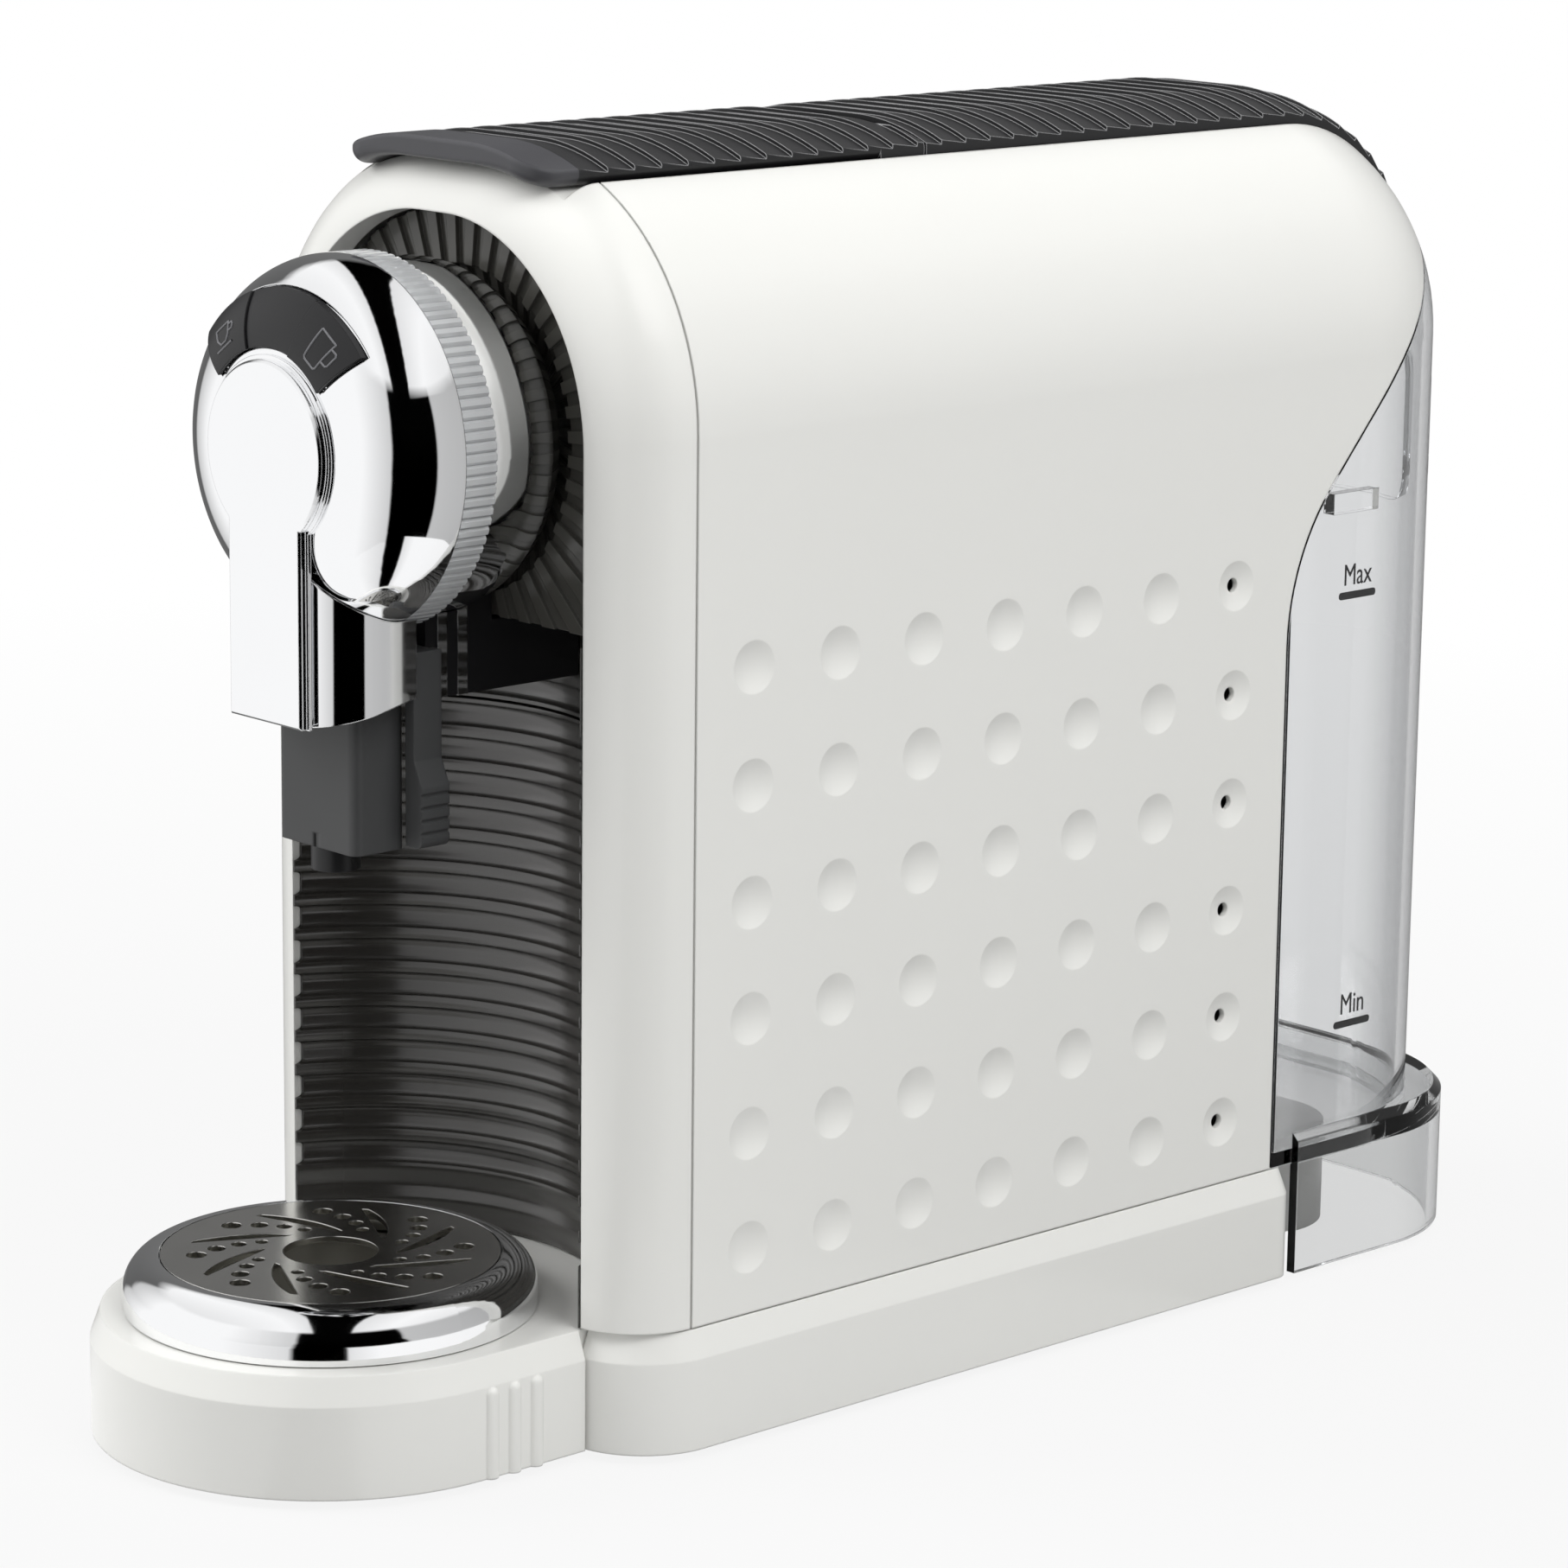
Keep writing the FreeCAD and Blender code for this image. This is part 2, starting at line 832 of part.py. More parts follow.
lever_strip = edge_finish("lever_strip", lever_flat, "Part::Fillet", lip_size)
barrel = common("barrel", barrel_rod, strip_top)


crank_lean = math.radians(float(dim.crank_tilt))
crank_open = math.radians(float(dim.lever_swing - dim.crank_tilt))
slot_half = dim.arm_pin_radius + dim.crank_play
slot_start = dim.crank_drop - slot_half
slot_end = dim.crank_drop / math.cos(crank_open) + slot_half


def crank_bar(name, half, start, end, inside, thickness):
    """Bar that leans back from the hinge; distances run down along it."""
    body = prism(
        name,
        "YZ_Plane",
        [(-half, -start), (-half, -end, half * full_round), (half, -end, half * full_round), (half, -start)],
        inside,
        thickness,
    )
    body.Placement = FreeCAD.Placement(Vector(), FreeCAD.Rotation(Vector(1, 0, 0), float(dim.crank_tilt)))
    place(body, 0.0, dim.hinge_back, hinge_height)
    return body


crank_end = slot_end + dim.wall
crank_right = crank_bar(
    "crank_right", dim.crank_half_width, 0 * dim.wall, crank_end, dim.crank_inside, dim.crank_thickness
)
crank_left = mirror("crank_left", crank_right)
crank_slot_right = crank_bar(
    "crank_slot_right",
    slot_half,
    slot_start,
    slot_end,
    dim.crank_inside - dim.wall,
    dim.crank_thickness + 2 * dim.wall,
)
crank_slots = [crank_slot_right, mirror("crank_slot_mirror", crank_slot_right)]
pin_bore = rod(
    "pin_bore",
    dim.pin_radius + dim.running_fit,
    dim.pin_length + 2 * dim.fit,
    (-dim.pin_length / 2 - dim.fit, dim.hinge_back, hinge_height),
    "right",
)


def ear_room(name, side):
    inner = dim.ear_inside - dim.fit
    outer = dim.ear_inside + dim.ear_width + dim.fit
    x = (inner, outer) if side > 0 else (-outer, -inner)
    reach = dim.ear_radius + 2 * dim.fit
    return block(
        name,
        x,
        (dim.hinge_back - reach, dim.hinge_back + dim.barrel_radius * 2),
        (deck_top - dim.wall, hinge_height + dim.ear_radius + dim.fit),
    )


ear_rooms = [ear_room("ear_room_right", 1), ear_room("ear_room_left", -1)]
lever_blank = fuse("lever_blank", [lever_strip, barrel, crank_right, crank_left])
node(cut_all("lever_cut", lever_blank, [rib_cuts, pin_bore] + crank_slots + ear_rooms), "lever")
pin_start = (-dim.pin_length / 2, dim.hinge_back, hinge_height)
lever_pin = rod("lever_pin_rod", dim.pin_radius, dim.pin_length, pin_start, "right")
node(lever_pin, "lever_pin")

# Rear cover behind the lever
cover_start = dim.hinge_back + dim.barrel_radius + dim.seam_gap
cover_zone = block("cover_zone", (-lever_half, lever_half), (cover_start, far), (casing_floor, far))
cover_blank = common("cover_blank", strip_shell, cover_zone)
node(cut_all("cover_cut", cover_blank, [rib_cuts, tank_wall_room]), "rear_cover")

# Wall between the works and the tank, with the hole for the tank's port
bay_zone = common("bay_zone", below_strip, chassis_room)
bay_blank = cut("bay_blank", tank_wall_room, tank_room)
bay_above_base = block("bay_above_base", (-far, far), (0 * far, far), (casing_floor, far))
bay_inside = common("bay_inside", bay_blank, bay_zone)
bay_clipped = common("bay_clipped", bay_inside, bay_above_base)
socket_front = dim.tank_front - dim.wall - dim.socket_length
port_start = (0.0, socket_front + dim.wall, dim.port_height)
port_hole = rod("port_hole", dim.port_radius + dim.fit, 2 * dim.socket_length, port_start, "back")
node(cut("bay_wall", bay_clipped, port_hole), "tank_bay_wall")

# Socket and seal for the tank's port
socket_blank = rod(
    "socket_blank",
    dim.port_radius + dim.fit + dim.socket_wall,
    dim.socket_length,
    (0.0, socket_front, dim.port_height),
    "back",
)
seal_start = socket_front + dim.socket_length / 2
seal_outer = dim.port_radius + dim.running_fit + dim.seal_depth
seal_groove = rod("seal_groove", seal_outer, dim.seal_width, (0.0, seal_start, dim.port_height), "back")
socket_start = (0.0, socket_front, dim.port_height)
socket_bore = rod("socket_bore", dim.port_bore, dim.socket_length, socket_start, "back")
node(cut_all("socket", socket_blank, [port_hole, seal_groove, socket_bore]), "inlet_socket")
seal_blank = rod("seal_blank", seal_outer, dim.seal_width, (0.0, seal_start, dim.port_height), "back")
seal_bore = rod(
    "seal_bore", dim.port_radius + dim.running_fit, dim.seal_width, (0.0, seal_start, dim.port_height), "back"
)
node(cut("seal", seal_blank, seal_bore), "inlet_seal")

# Water tank: clear body under the S-shaped edge, flared skirt, grip and port
tank_bottom = base_top + dim.fit
tank_face = dim.tank_front + dim.tank_gap
tank_zone = block("tank_zone", (-far, far), (0 * far, far), (tank_bottom, far))
tank_outer = common("tank_outer", common("tank_outside", casing, tank_body_room), tank_zone)


def skirt_solid(name, inset, height):
    half = half_body + dim.base_flare - inset
    rear = dim.skirt_rear - inset
    front = dim.skirt_front - 2 * inset
    radius = dim.skirt_round - inset
    corners = [(-half, front), (half, front), (half, rear, radius), (-half, rear, radius)]
    return prism(name, "XY_Plane", corners, dim.foot_height, height)


skirt_body = skirt_solid("skirt_body", 0 * dim.wall, dim.skirt_height)
skirt_top = dim.foot_height + dim.skirt_height
soften(
    skirt_body,
    skirt_body.Tip,
    dim.skirt_chamfer,
    lambda box: near(box.ZMin, skirt_top) and box.YMax > float(dim.skirt_front) + 1,
    "PartDesign::Chamfer",
    "Size",
)
skirt_hollow = skirt_solid("skirt_hollow", dim.tank_wall, tank_bottom - dim.foot_height)
grip_half = dim.grip_width / 2
grip_zone = prism(
    "grip_zone",
    "XZ_Plane",
    [
        (-grip_half, grip_bottom, dim.grip_round),
        (grip_half, grip_bottom, dim.grip_round),
        (grip_half, grip_top, dim.grip_round),
        (-grip_half, grip_top, dim.grip_round),
    ],
    -far,
    far - dim.grip_front,
)
grip = common("grip", envelope("grip_form", -dim.grip_proud), grip_zone)
cavity_zone = block(
    "cavity_zone", (-far, far), (tank_face + dim.tank_wall, far), (tank_bottom + dim.tank_floor, far)
)
tank_cavity = common("tank_cavity", tank_inside, cavity_zone)
port_tube = rod(
    "port_tube",
    dim.port_radius,
    dim.port_reach + dim.tank_wall,
    (0.0, tank_face - dim.port_reach, dim.port_height),
    "back",
)
port_bore = rod(
    "port_bore", dim.port_bore, 2 * dim.port_reach, (0.0, tank_face - dim.port_reach, dim.port_height), "back"
)
tank_blank = fuse("tank_blank", [tank_outer, grip, port_tube])
tank_hollow = cut_all("tank", tank_blank, [tank_cavity, port_bore])
lug_side = half_body - dim.tank_wall
tank_lug = block(
    "tank_lug",
    (lug_side - dim.lug_proud, lug_side + dim.tank_wall / 2),
    (dim.lug_front, dim.lug_front + dim.lug_length),
    (lug_bottom, lug_bottom + dim.lug_height),
)
node(fuse("tank_shell", [tank_hollow, tank_lug, mirror("tank_lug_left", tank_lug)]), "water_tank")
seat_clearance = dim.fit / 2
seat_zone = block("seat_zone", (-far, far), (0 * far, far), (tank_bottom - seat_clearance, far))
skirt_seat = common("skirt_seat", envelope("skirt_seat_form", -seat_clearance), seat_zone)
node(cut_all("skirt", skirt_body, [skirt_hollow, skirt_seat]), "tank_skirt")

# Base housing: plinth with a chamfered rim, a bay for the tray's tongue and a hollow underside
half_base = half_body + dim.base_flare
plinth = new_body("plinth")
plinth_sketch = sketch(plinth, "XY_Plane", dim.foot_height)
outline(
    plinth_sketch,
    [
        (-half_base, -dim.body_front, dim.base_corner),
        (half_base, -dim.body_front, dim.base_corner),
        (half_base, dim.base_rear, dim.base_rear_corner),
        (-half_base, dim.base_rear, dim.base_rear_corner),
    ],
)
plinth_pad = pad(plinth, plinth_sketch, dim.base_height)
plinth_rim = soften(
    plinth, plinth_pad, dim.base_chamfer, lambda box: near(box.ZMin, base_top), "PartDesign::Chamfer", "Size"
)
plinth_rim.ChamferType = "Two distances"
bind(plinth_rim, "Size2", dim.base_flare)
tongue = prism(
    "tongue",
    "XY_Plane",
    [
        (-dim.tongue_width / 2, dim.base_rear - dim.base_wall),
        (dim.tongue_width / 2, dim.base_rear - dim.base_wall),
        (dim.tongue_width / 2, dim.tongue_rear, dim.base_corner),
        (-dim.tongue_width / 2, dim.tongue_rear, dim.base_corner),
    ],
    dim.foot_height + dim.tongue_clearance,
    dim.base_height - dim.tongue_clearance,
)
tray_bay = block(
    "tray_bay",
    (-half_opening, half_opening),
    (-far, dim.fit - dim.tray_tongue_back),
    (dim.foot_height + dim.tray_tongue_floor - dim.fit, far),
)
hollow_half = half_base - dim.base_wall
hollow_rear = dim.base_rear - dim.base_wall
base_hollow = block(
    "base_hollow",
    (-hollow_half, hollow_half),
    (-dim.base_hollow_front, hollow_rear),
    (dim.foot_height, base_top - dim.base_wall),
)


def at_screws(name, radius, low, high):
    side = hollow_half - dim.boss_radius
    rows = (-dim.base_hollow_front + dim.boss_radius, hollow_rear - dim.boss_radius)
    made = []
    for x in (-side, side):
        for y in rows:
            made.append(rod(f"{name}_{len(made) + 1}", radius, high - low, (x, y, low)))
    return fuse(name, made)


plate_top = dim.foot_height + dim.plate_thickness
boss_low = plate_top
hollow_top = base_top - dim.base_wall
bosses = at_screws("bosses", dim.boss_radius, boss_low, hollow_top + dim.base_wall / 2)
screw_top = dim.foot_height + dim.screw_length
boss_holes = at_screws("boss_holes", dim.screw_radius + dim.running_fit, dim.foot_height, screw_top + dim.fit)
gland_start = (-half_base, dim.gland_rear, dim.gland_height)
gland_neck_radius = (dim.gland_radius + dim.gland_bore) / 2
gland_hole_radius = gland_neck_radius + dim.running_fit
gland_hole = rod("gland_hole", gland_hole_radius, 2 * dim.gland_length, gland_start, "right")
gland_seat = rod("gland_seat", dim.gland_radius + dim.running_fit, dim.gland_collar, gland_start, "right")
base_cut = cut("base_cut", fuse("base_blank", [plinth, tongue]), base_hollow)
base_bossed = fuse("base_bossed", [cut("base_bay", base_cut, tray_bay), bosses])
node(cut_all("base", base_bossed, [boss_holes, gland_hole, gland_seat]), "base_housing")

# Underside: cover plate, screws, feet and the cord's gland
plate_blank = block(
    "plate_blank",
    (dim.fit - hollow_half, hollow_half - dim.fit),
    (dim.fit - dim.base_hollow_front, hollow_rear - dim.fit),
    (dim.foot_height, plate_top),
)
screw_head_top = dim.foot_height + dim.screw_head_height
head_room_radius = dim.screw_head_radius + dim.fit
screw_heads_room = at_screws("screw_heads_room", head_room_radius, dim.foot_height, screw_head_top)
plate_holes = at_screws("plate_holes", dim.screw_radius + dim.fit, dim.foot_height, plate_top)
node(cut_all("plate", plate_blank, [screw_heads_room, plate_holes]), "base_plate")
screw_heads = at_screws("screw_heads", dim.screw_head_radius, dim.foot_height, screw_head_top)
screw_shanks = at_screws("screw_shanks", dim.screw_radius, dim.foot_height, screw_top)
node(fuse("screws", [screw_heads, screw_shanks]), "base_screws")
feet = []
for x in (-dim.foot_side, dim.foot_side):
    for y in (-dim.foot_front, dim.foot_rear):
        feet.append(rod(f"foot_{len(feet) + 1}", dim.foot_radius, dim.foot_height, (x, y, 0.0)))
node(fuse("feet", feet), "rubber_feet")
gland_collar = rod("gland_collar_rod", dim.gland_radius, dim.gland_collar, gland_start, "right")
gland_neck = rod("gland_neck", gland_neck_radius, dim.gland_length, gland_start, "right")
gland_bore = rod("gland_bore_rod", dim.gland_bore, 2 * dim.gland_length, gland_start, "right")
node(cut("gland", fuse("gland_blank", [gland_collar, gland_neck]), gland_bore), "cord_gland")

# Deck under the lever with the capsule slot and the hinge ears
deck_block = block("deck_block", (-far, far), (-dim.deck_front, dim.deck_rear), (deck_bottom, deck_top))
deck_plate = common("deck_plate", deck_block, chassis_room)


def ear(name, side):
    x = (dim.ear_inside, dim.ear_inside + dim.ear_width)
    if side < 0:
        x = (-dim.ear_inside - dim.ear_width, -dim.ear_inside)
    post = block(
        f"{name}_post",
        x,
        (dim.hinge_back - dim.ear_radius, dim.hinge_back + dim.ear_radius),
        (deck_bottom, hinge_height),
    )
    head_start = (x[0], dim.hinge_back, hinge_height)
    head = rod(f"{name}_head", dim.ear_radius, dim.ear_width, head_start, "right")
    return [post, head]


capsule_slot = prism(
    "capsule_slot",
    "XY_Plane",
    [
        (-dim.slot_width / 2, -dim.slot_front, dim.wall),
        (dim.slot_width / 2, -dim.slot_front, dim.wall),
        (dim.slot_width / 2, -dim.slot_back, dim.wall),
        (-dim.slot_width / 2, -dim.slot_back, dim.wall),
    ],
    deck_bottom - dim.wall,
    dim.deck_thickness + 2 * dim.wall,
)
deck_slot = block(
    "deck_slot",
    (dim.crank_inside - 2 * dim.fit, dim.crank_inside + dim.crank_thickness + 2 * dim.fit),
    (dim.hinge_back - crank_end, dim.bulkhead_back - dim.fit),
    (deck_bottom - dim.wall, deck_top + dim.wall),
)
ear_bore = rod("ear_bore", dim.pin_radius + dim.running_fit, dim.pin_length, pin_start, "right")
deck_blank = fuse("deck_blank", [deck_plate] + ear("ear_right", 1) + ear("ear_left", -1))
deck_slots = [capsule_slot, deck_slot, mirror("deck_slot_left", deck_slot), ear_bore]
node(cut_all("deck", deck_blank, deck_slots), "top_deck")

# Chassis: floor plate, bulkhead and shelf, inside the shells
chassis_half = dim.chassis_width / 2
bulkhead_rear = dim.bulkhead_back + dim.bulkhead_thickness
floor_top = casing_floor + dim.chassis_plate
shelf_top = shelf_height + dim.chassis_plate
across = (-chassis_half, chassis_half)
floor_depth = (-dim.chassis_front, dim.chassis_rear)
chassis_floor = block("chassis_floor", across, floor_depth, (base_top, floor_top))
bulkhead_depth = (dim.bulkhead_back, bulkhead_rear)
bulkhead_blank = block("bulkhead_blank", across, bulkhead_depth, (base_top, deck_bottom))
bulkhead = common("bulkhead", bulkhead_blank, chassis_room)
shelf_half = dim.thermoblock_width / 2 + dim.wall
shelf_rear = bulkhead_rear + dim.thermoblock_depth + dim.wall
shelf = block("shelf", (-shelf_half, shelf_half), (bulkhead_rear, shelf_rear), (shelf_height, shelf_top))
board_half = dim.board_width / 2
standoffs = []
board_top = board_bottom + dim.board_height
for x in (dim.standoff_radius - board_half, board_half - dim.standoff_radius):
    for z in (board_bottom + dim.standoff_radius, board_top - dim.standoff_radius):
        name = f"standoff_{len(standoffs) + 1}"
        standoffs.append(rod(name, dim.standoff_radius, dim.standoff_length, (x, bulkhead_rear, z), "back"))
node(fuse("chassis_blank", [chassis_floor, bulkhead, shelf] + standoffs), "chassis")

# Control board on its standoffs
board_front = bulkhead_rear + dim.standoff_length
board = block(
    "board",
    (-board_half, board_half),
    (board_front, board_front + dim.board_thickness),
    (board_bottom, board_top),
)
node(board, "control_board")

# Thermoblock on the shelf
thermo_half = dim.thermoblock_width / 2
thermoblock = prism(
    "thermoblock_body",
    "XY_Plane",
    [
        (-thermo_half, bulkhead_rear, dim.thermoblock_round),
        (thermo_half, bulkhead_rear, dim.thermoblock_round),
        (thermo_half, bulkhead_rear + dim.thermoblock_depth, dim.thermoblock_round),
        (-thermo_half, bulkhead_rear + dim.thermoblock_depth, dim.thermoblock_round),
    ],
    shelf_top,
    dim.thermoblock_height,
)
node(thermoblock, "thermoblock")

# Pump on two rubber mounts
pump_axis = floor_top + dim.mount_floor + dim.pump_radius
pump_start = bulkhead_rear + dim.pump_cap_length + dim.fit
pump_at = (-dim.pump_side, pump_start, pump_axis)
pump_case = rod("pump_case", dim.pump_radius, dim.pump_length, pump_at, "back")
pump_ends = rod(
    "pump_ends",
    dim.pump_cap_radius,
    dim.pump_length + 2 * dim.pump_cap_length,
    (-dim.pump_side, pump_start - dim.pump_cap_length, pump_axis),
    "back",
)
pump_inlet = rod(
    "pump_inlet",
    dim.hose_radius,
    dim.pump_radius + dim.pump_inlet_length,
    (-dim.pump_side, pump_start + dim.pump_length / 2, dim.port_height),
    "right",
)
node(fuse("pump_blank", [pump_case, pump_ends, pump_inlet]), "pump")
mounts = []
for start in (pump_start, pump_start + dim.pump_length - dim.mount_length):
    saddle = block(
        f"saddle_{len(mounts) + 1}",
        (-dim.pump_side - dim.pump_radius, dim.pump_radius - dim.pump_side),
        (start, start + dim.mount_length),
        (floor_top, pump_axis - dim.pump_radius / 2),
    )
    mounts.append(saddle)
pump_room = rod("pump_room", dim.pump_radius + dim.running_fit, dim.pump_length, pump_at, "back")
node(cut("pump_saddles", fuse("saddles", mounts), pump_room), "pump_mounts")

# Injector on the bulkhead and the carriage that closes on it
injector = rod(
    "injector_rod",
    dim.brew_radius,
    dim.bulkhead_back + dim.injector_front - dim.fit,
    (0.0, dim.fit - dim.injector_front, head_height),
    "back",
)
node(injector, "injector")
carriage_back = -dim.injector_front
carriage_drum = rod(
    "carriage_drum",
    dim.brew_radius,
    dim.carriage_front - dim.injector_front,
    (0.0, -dim.carriage_front, head_height),
    "back",
)
carriage_chamber = rod(
    "carriage_chamber",
    dim.carriage_bore,
    dim.carriage_bore_depth,
    (0.0, carriage_back - dim.carriage_bore_depth, head_height),
    "back",
)
wing_half = dim.rod_side + dim.rod_radius + dim.wall
wings = block(
    "wings",
    (-wing_half, wing_half),
    (-dim.carriage_front, dim.wing_depth - dim.carriage_front),
    (head_height - dim.wing_height / 2, head_height + dim.wing_height / 2),
)
arm_inside = dim.crank_inside + dim.crank_thickness + 2 * dim.fit
arm_outside = arm_inside + dim.arm_thickness
arm_pin_back = dim.hinge_back + dim.crank_drop * math.tan(crank_lean)
arm_pin_height = hinge_height - dim.crank_drop
arm_half = dim.arm_half_width
arm_right = prism(
    "arm_right",
    "YZ_Plane",
    [
        (-dim.arm_front - arm_half, head_height - arm_half),
        (-dim.arm_front + arm_half * 2, head_height - arm_half),
        (arm_pin_back + arm_half, arm_pin_height - arm_half, arm_half * full_round),
        (arm_pin_back + arm_half, arm_pin_height + arm_half, arm_half * full_round),
        (arm_pin_back - arm_half, arm_pin_height + arm_half),
        (-dim.arm_front - arm_half, head_height + arm_half),
    ],
    arm_inside,
    dim.arm_thickness,
)
arm_pin = rod(
    "arm_pin",
    dim.arm_pin_radius,
    arm_outside - dim.crank_inside,
    (dim.crank_inside, arm_pin_back, arm_pin_height),
    "right",
)
arm_pieces = [arm_right, arm_pin, mirror("arm_left", arm_right), mirror("arm_pin_left", arm_pin)]
rod_holes = []
rods = []
for side in (-1, 1):
    start = (side * dim.rod_side, -dim.rod_front, head_height)
    length = dim.rod_front + dim.bulkhead_back
    rods.append(rod(f"guide_rod_{len(rods) + 1}", dim.rod_radius, length, start, "back"))
    hole_radius = dim.rod_radius + dim.running_fit
    rod_holes.append(rod(f"rod_hole_{len(rods)}", hole_radius, length, start, "back"))
carriage_blank = fuse("carriage_blank", [carriage_drum, wings])
node(cut_all("carriage", carriage_blank, [carriage_chamber] + rod_holes), "brew_carriage")
node(cut("arms", fuse("arms_blank", arm_pieces), wings), "carriage_arms")
node(fuse("rods", rods), "guide_rods")


# Hoses: tank socket to pump and pump to thermoblock
def tube(points, radius, bend):
    """Tube along straight runs joined by tangent arcs."""
    edges = []
    start = points[0]
    for index in range(1, len(points) - 1):
        corner = points[index]
        before = points[index - 1]
        after = points[index + 1]
        shorter = min((before - corner).Length, (after - corner).Length)
        first, last, middle = corner_arc(before, corner, after, min(bend, 0.45 * shorter))
        edges.append(Part.LineSegment(start, first).toShape())
        edges.append(Part.Arc(first, middle, last).toShape())
        start = last
    edges.append(Part.LineSegment(start, points[-1]).toShape())
    heading = points[1] - points[0]
    section = Part.Wire(Part.makeCircle(radius, points[0], heading))
    return Part.Wire(edges).makePipeShell([section], True, False)


pump_back = float(pump_start + dim.pump_length + dim.pump_cap_length)
pump_x = -float(dim.pump_side)
pump_z = float(pump_axis)
socket_y = float(socket_front)
port_z = float(dim.port_height)
thermo_rear = float(bulkhead_rear + dim.thermoblock_depth)
thermo_z = float(shelf_top + dim.thermoblock_height / 2)
hose = float(dim.hose_radius)
bend = float(dim.hose_bend)
touch = float(dim.fit)
riser_y = max(thermo_rear, pump_back) + float(dim.hose_offset)
feed_y = float(pump_start + dim.pump_length / 2)
inlet_x = pump_x + float(dim.pump_radius + dim.pump_inlet_length)
feed_hose = tube(
    [
        Vector(0, socket_y - touch, port_z),
        Vector(0, feed_y, port_z),
        Vector(inlet_x + touch, feed_y, port_z),
    ],
    hose,
    bend,
)
riser_hose = tube(
    [
        Vector(pump_x, pump_back + touch, pump_z),
        Vector(pump_x, riser_y, pump_z),
        Vector(pump_x, riser_y, thermo_z),
        Vector(pump_x, thermo_rear + touch, thermo_z),
    ],
    hose,
    bend,
)
node(shape("hose_runs", Part.makeCompound([feed_hose, riser_hose])), "hoses")

# Brew head: rear dome, clear ring, front dome and keyhole plate
axis_at = (0.0, 0.0, head_height)
neck = dim.head_neck_radius
rim = dim.head_rim_radius
back = dim.head_back
ring_back = dim.ring_back
shoulder_at = back + dim.head_shoulder
rim_inner = rim - dim.head_wall
node(
    turned(
        "head_rear_body",
        [
            (neck - dim.head_wall, back),
            (neck, back),
            (rim - dim.running_fit, shoulder_at, dim.dome_round),
            (rim, ring_back),
            (rim_inner, ring_back),
            (rim_inner - dim.running_fit, shoulder_at + dim.head_wall, dim.dome_round - dim.head_wall),
            (neck - dim.head_wall, back + dim.head_wall),
        ],
        "front",
        axis_at,
    ),
    "head_rear",
)


def ring_knurl():
    """Notches round the clear ring."""
    count = round(float(dim.ring_teeth))
    radius = float(dim.ring_radius)
    depth = float(dim.ring_tooth_depth)
    half = math.pi * radius / count / 2
    length = float(dim.ring_front - dim.ring_back)
    notch = Part.Face(
        Part.makePolygon([
            Vector(radius - depth, 0, 0),
            Vector(radius + depth, half * 2, 0),
            Vector(radius + depth, -half * 2, 0),
            Vector(radius - depth, 0, 0),
        ])
    ).extrude(Vector(0, 0, length))
    made = []
    for index in range(count):
        copy = notch.copy()
        copy.rotate(Vector(), Vector(0, 0, 1), 360.0 * index / count)
        made.append(copy)
    return Part.makeCompound(made)


knurl = shape("knurl", ring_knurl())
knurl.Placement = FreeCAD.Placement(Vector(), turns["front"])
place(knurl, 0.0, -dim.ring_back, head_height)
ring_blank = turned(
    "ring_blank",
    [
        (dim.ring_bore, ring_back),
        (dim.ring_radius, ring_back),
        (dim.ring_radius, dim.ring_front),
        (dim.ring_bore, dim.ring_front),
    ],
    "front",
    axis_at,
)
node(cut("ring_cut", ring_blank, knurl), "light_ring")


def dome_solid(name, outset):
    """Filled front dome, grown by outset."""
    radius = dim.ring_radius + outset
    front = dim.head_front + outset
    bend = dim.dome_round + outset
    corners = [(0.0, dim.ring_front), (radius, dim.ring_front), (radius, front, bend), (0.0, front)]
    return turned(name, corners, "front", axis_at)


def panel_sector(name, inner, outer, angle, swing):
    corners = [
        (inner, dim.ring_front + dim.dome_wall),
        (outer, dim.ring_front + dim.dome_wall),
        (outer, dim.plate_front + dim.wall),
        (inner, dim.plate_front + dim.wall),
    ]
    return turned(name, corners, "front", axis_at, angle, swing)


dome_outer = dome_solid("dome_outer", 0 * dim.fit)
dome_inner = dome_solid("dome_inner", -dim.dome_wall)
dome_start = (0.0, -dim.ring_front, head_height)
dome_bore = rod("dome_bore_rod", dim.dome_bore, dim.body_front, dome_start, "front")
recess_floor = dome_solid("recess_floor", -dim.panel_recess)
panel_zone = panel_sector("panel_zone", dim.panel_inner, dim.panel_outer, dim.panel_angle, 0.0)
panel_recess = cut("panel_recess", panel_zone, recess_floor)
node(cut_all("dome", dome_outer, [dome_inner, dome_bore, panel_recess]), "head_dome")

middle_zone = panel_sector(
    "middle_zone", dim.panel_inner + dim.fit, dim.panel_outer - dim.fit, dim.panel_middle_angle, 0.0
)
panel_skin = cut("panel_skin", dome_solid("panel_top", dim.panel_proud), recess_floor)
node(common("panel_plate", panel_skin, middle_zone), "button_panel")
key_angle = (dim.panel_angle - dim.panel_middle_angle) / 2 - dim.key_gap_angle
key_swing = float(dim.panel_middle_angle) / 2 + float(dim.panel_angle - dim.panel_middle_angle) / 4
key_skin = cut(
    "key_skin", dome_solid("key_top", dim.key_proud), dome_solid("key_under", dim.key_lift - dim.panel_recess)
)
for label, swing in (("button_espresso", key_swing), ("button_lungo", -key_swing)):
    zone = panel_sector(
        f"{label}_zone", dim.panel_inner + dim.fit, dim.panel_outer - dim.fit, key_angle, swing
    )
    node(common(f"{label}_key", key_skin, zone), label)

plate_start = (0.0, -dim.head_front, head_height)


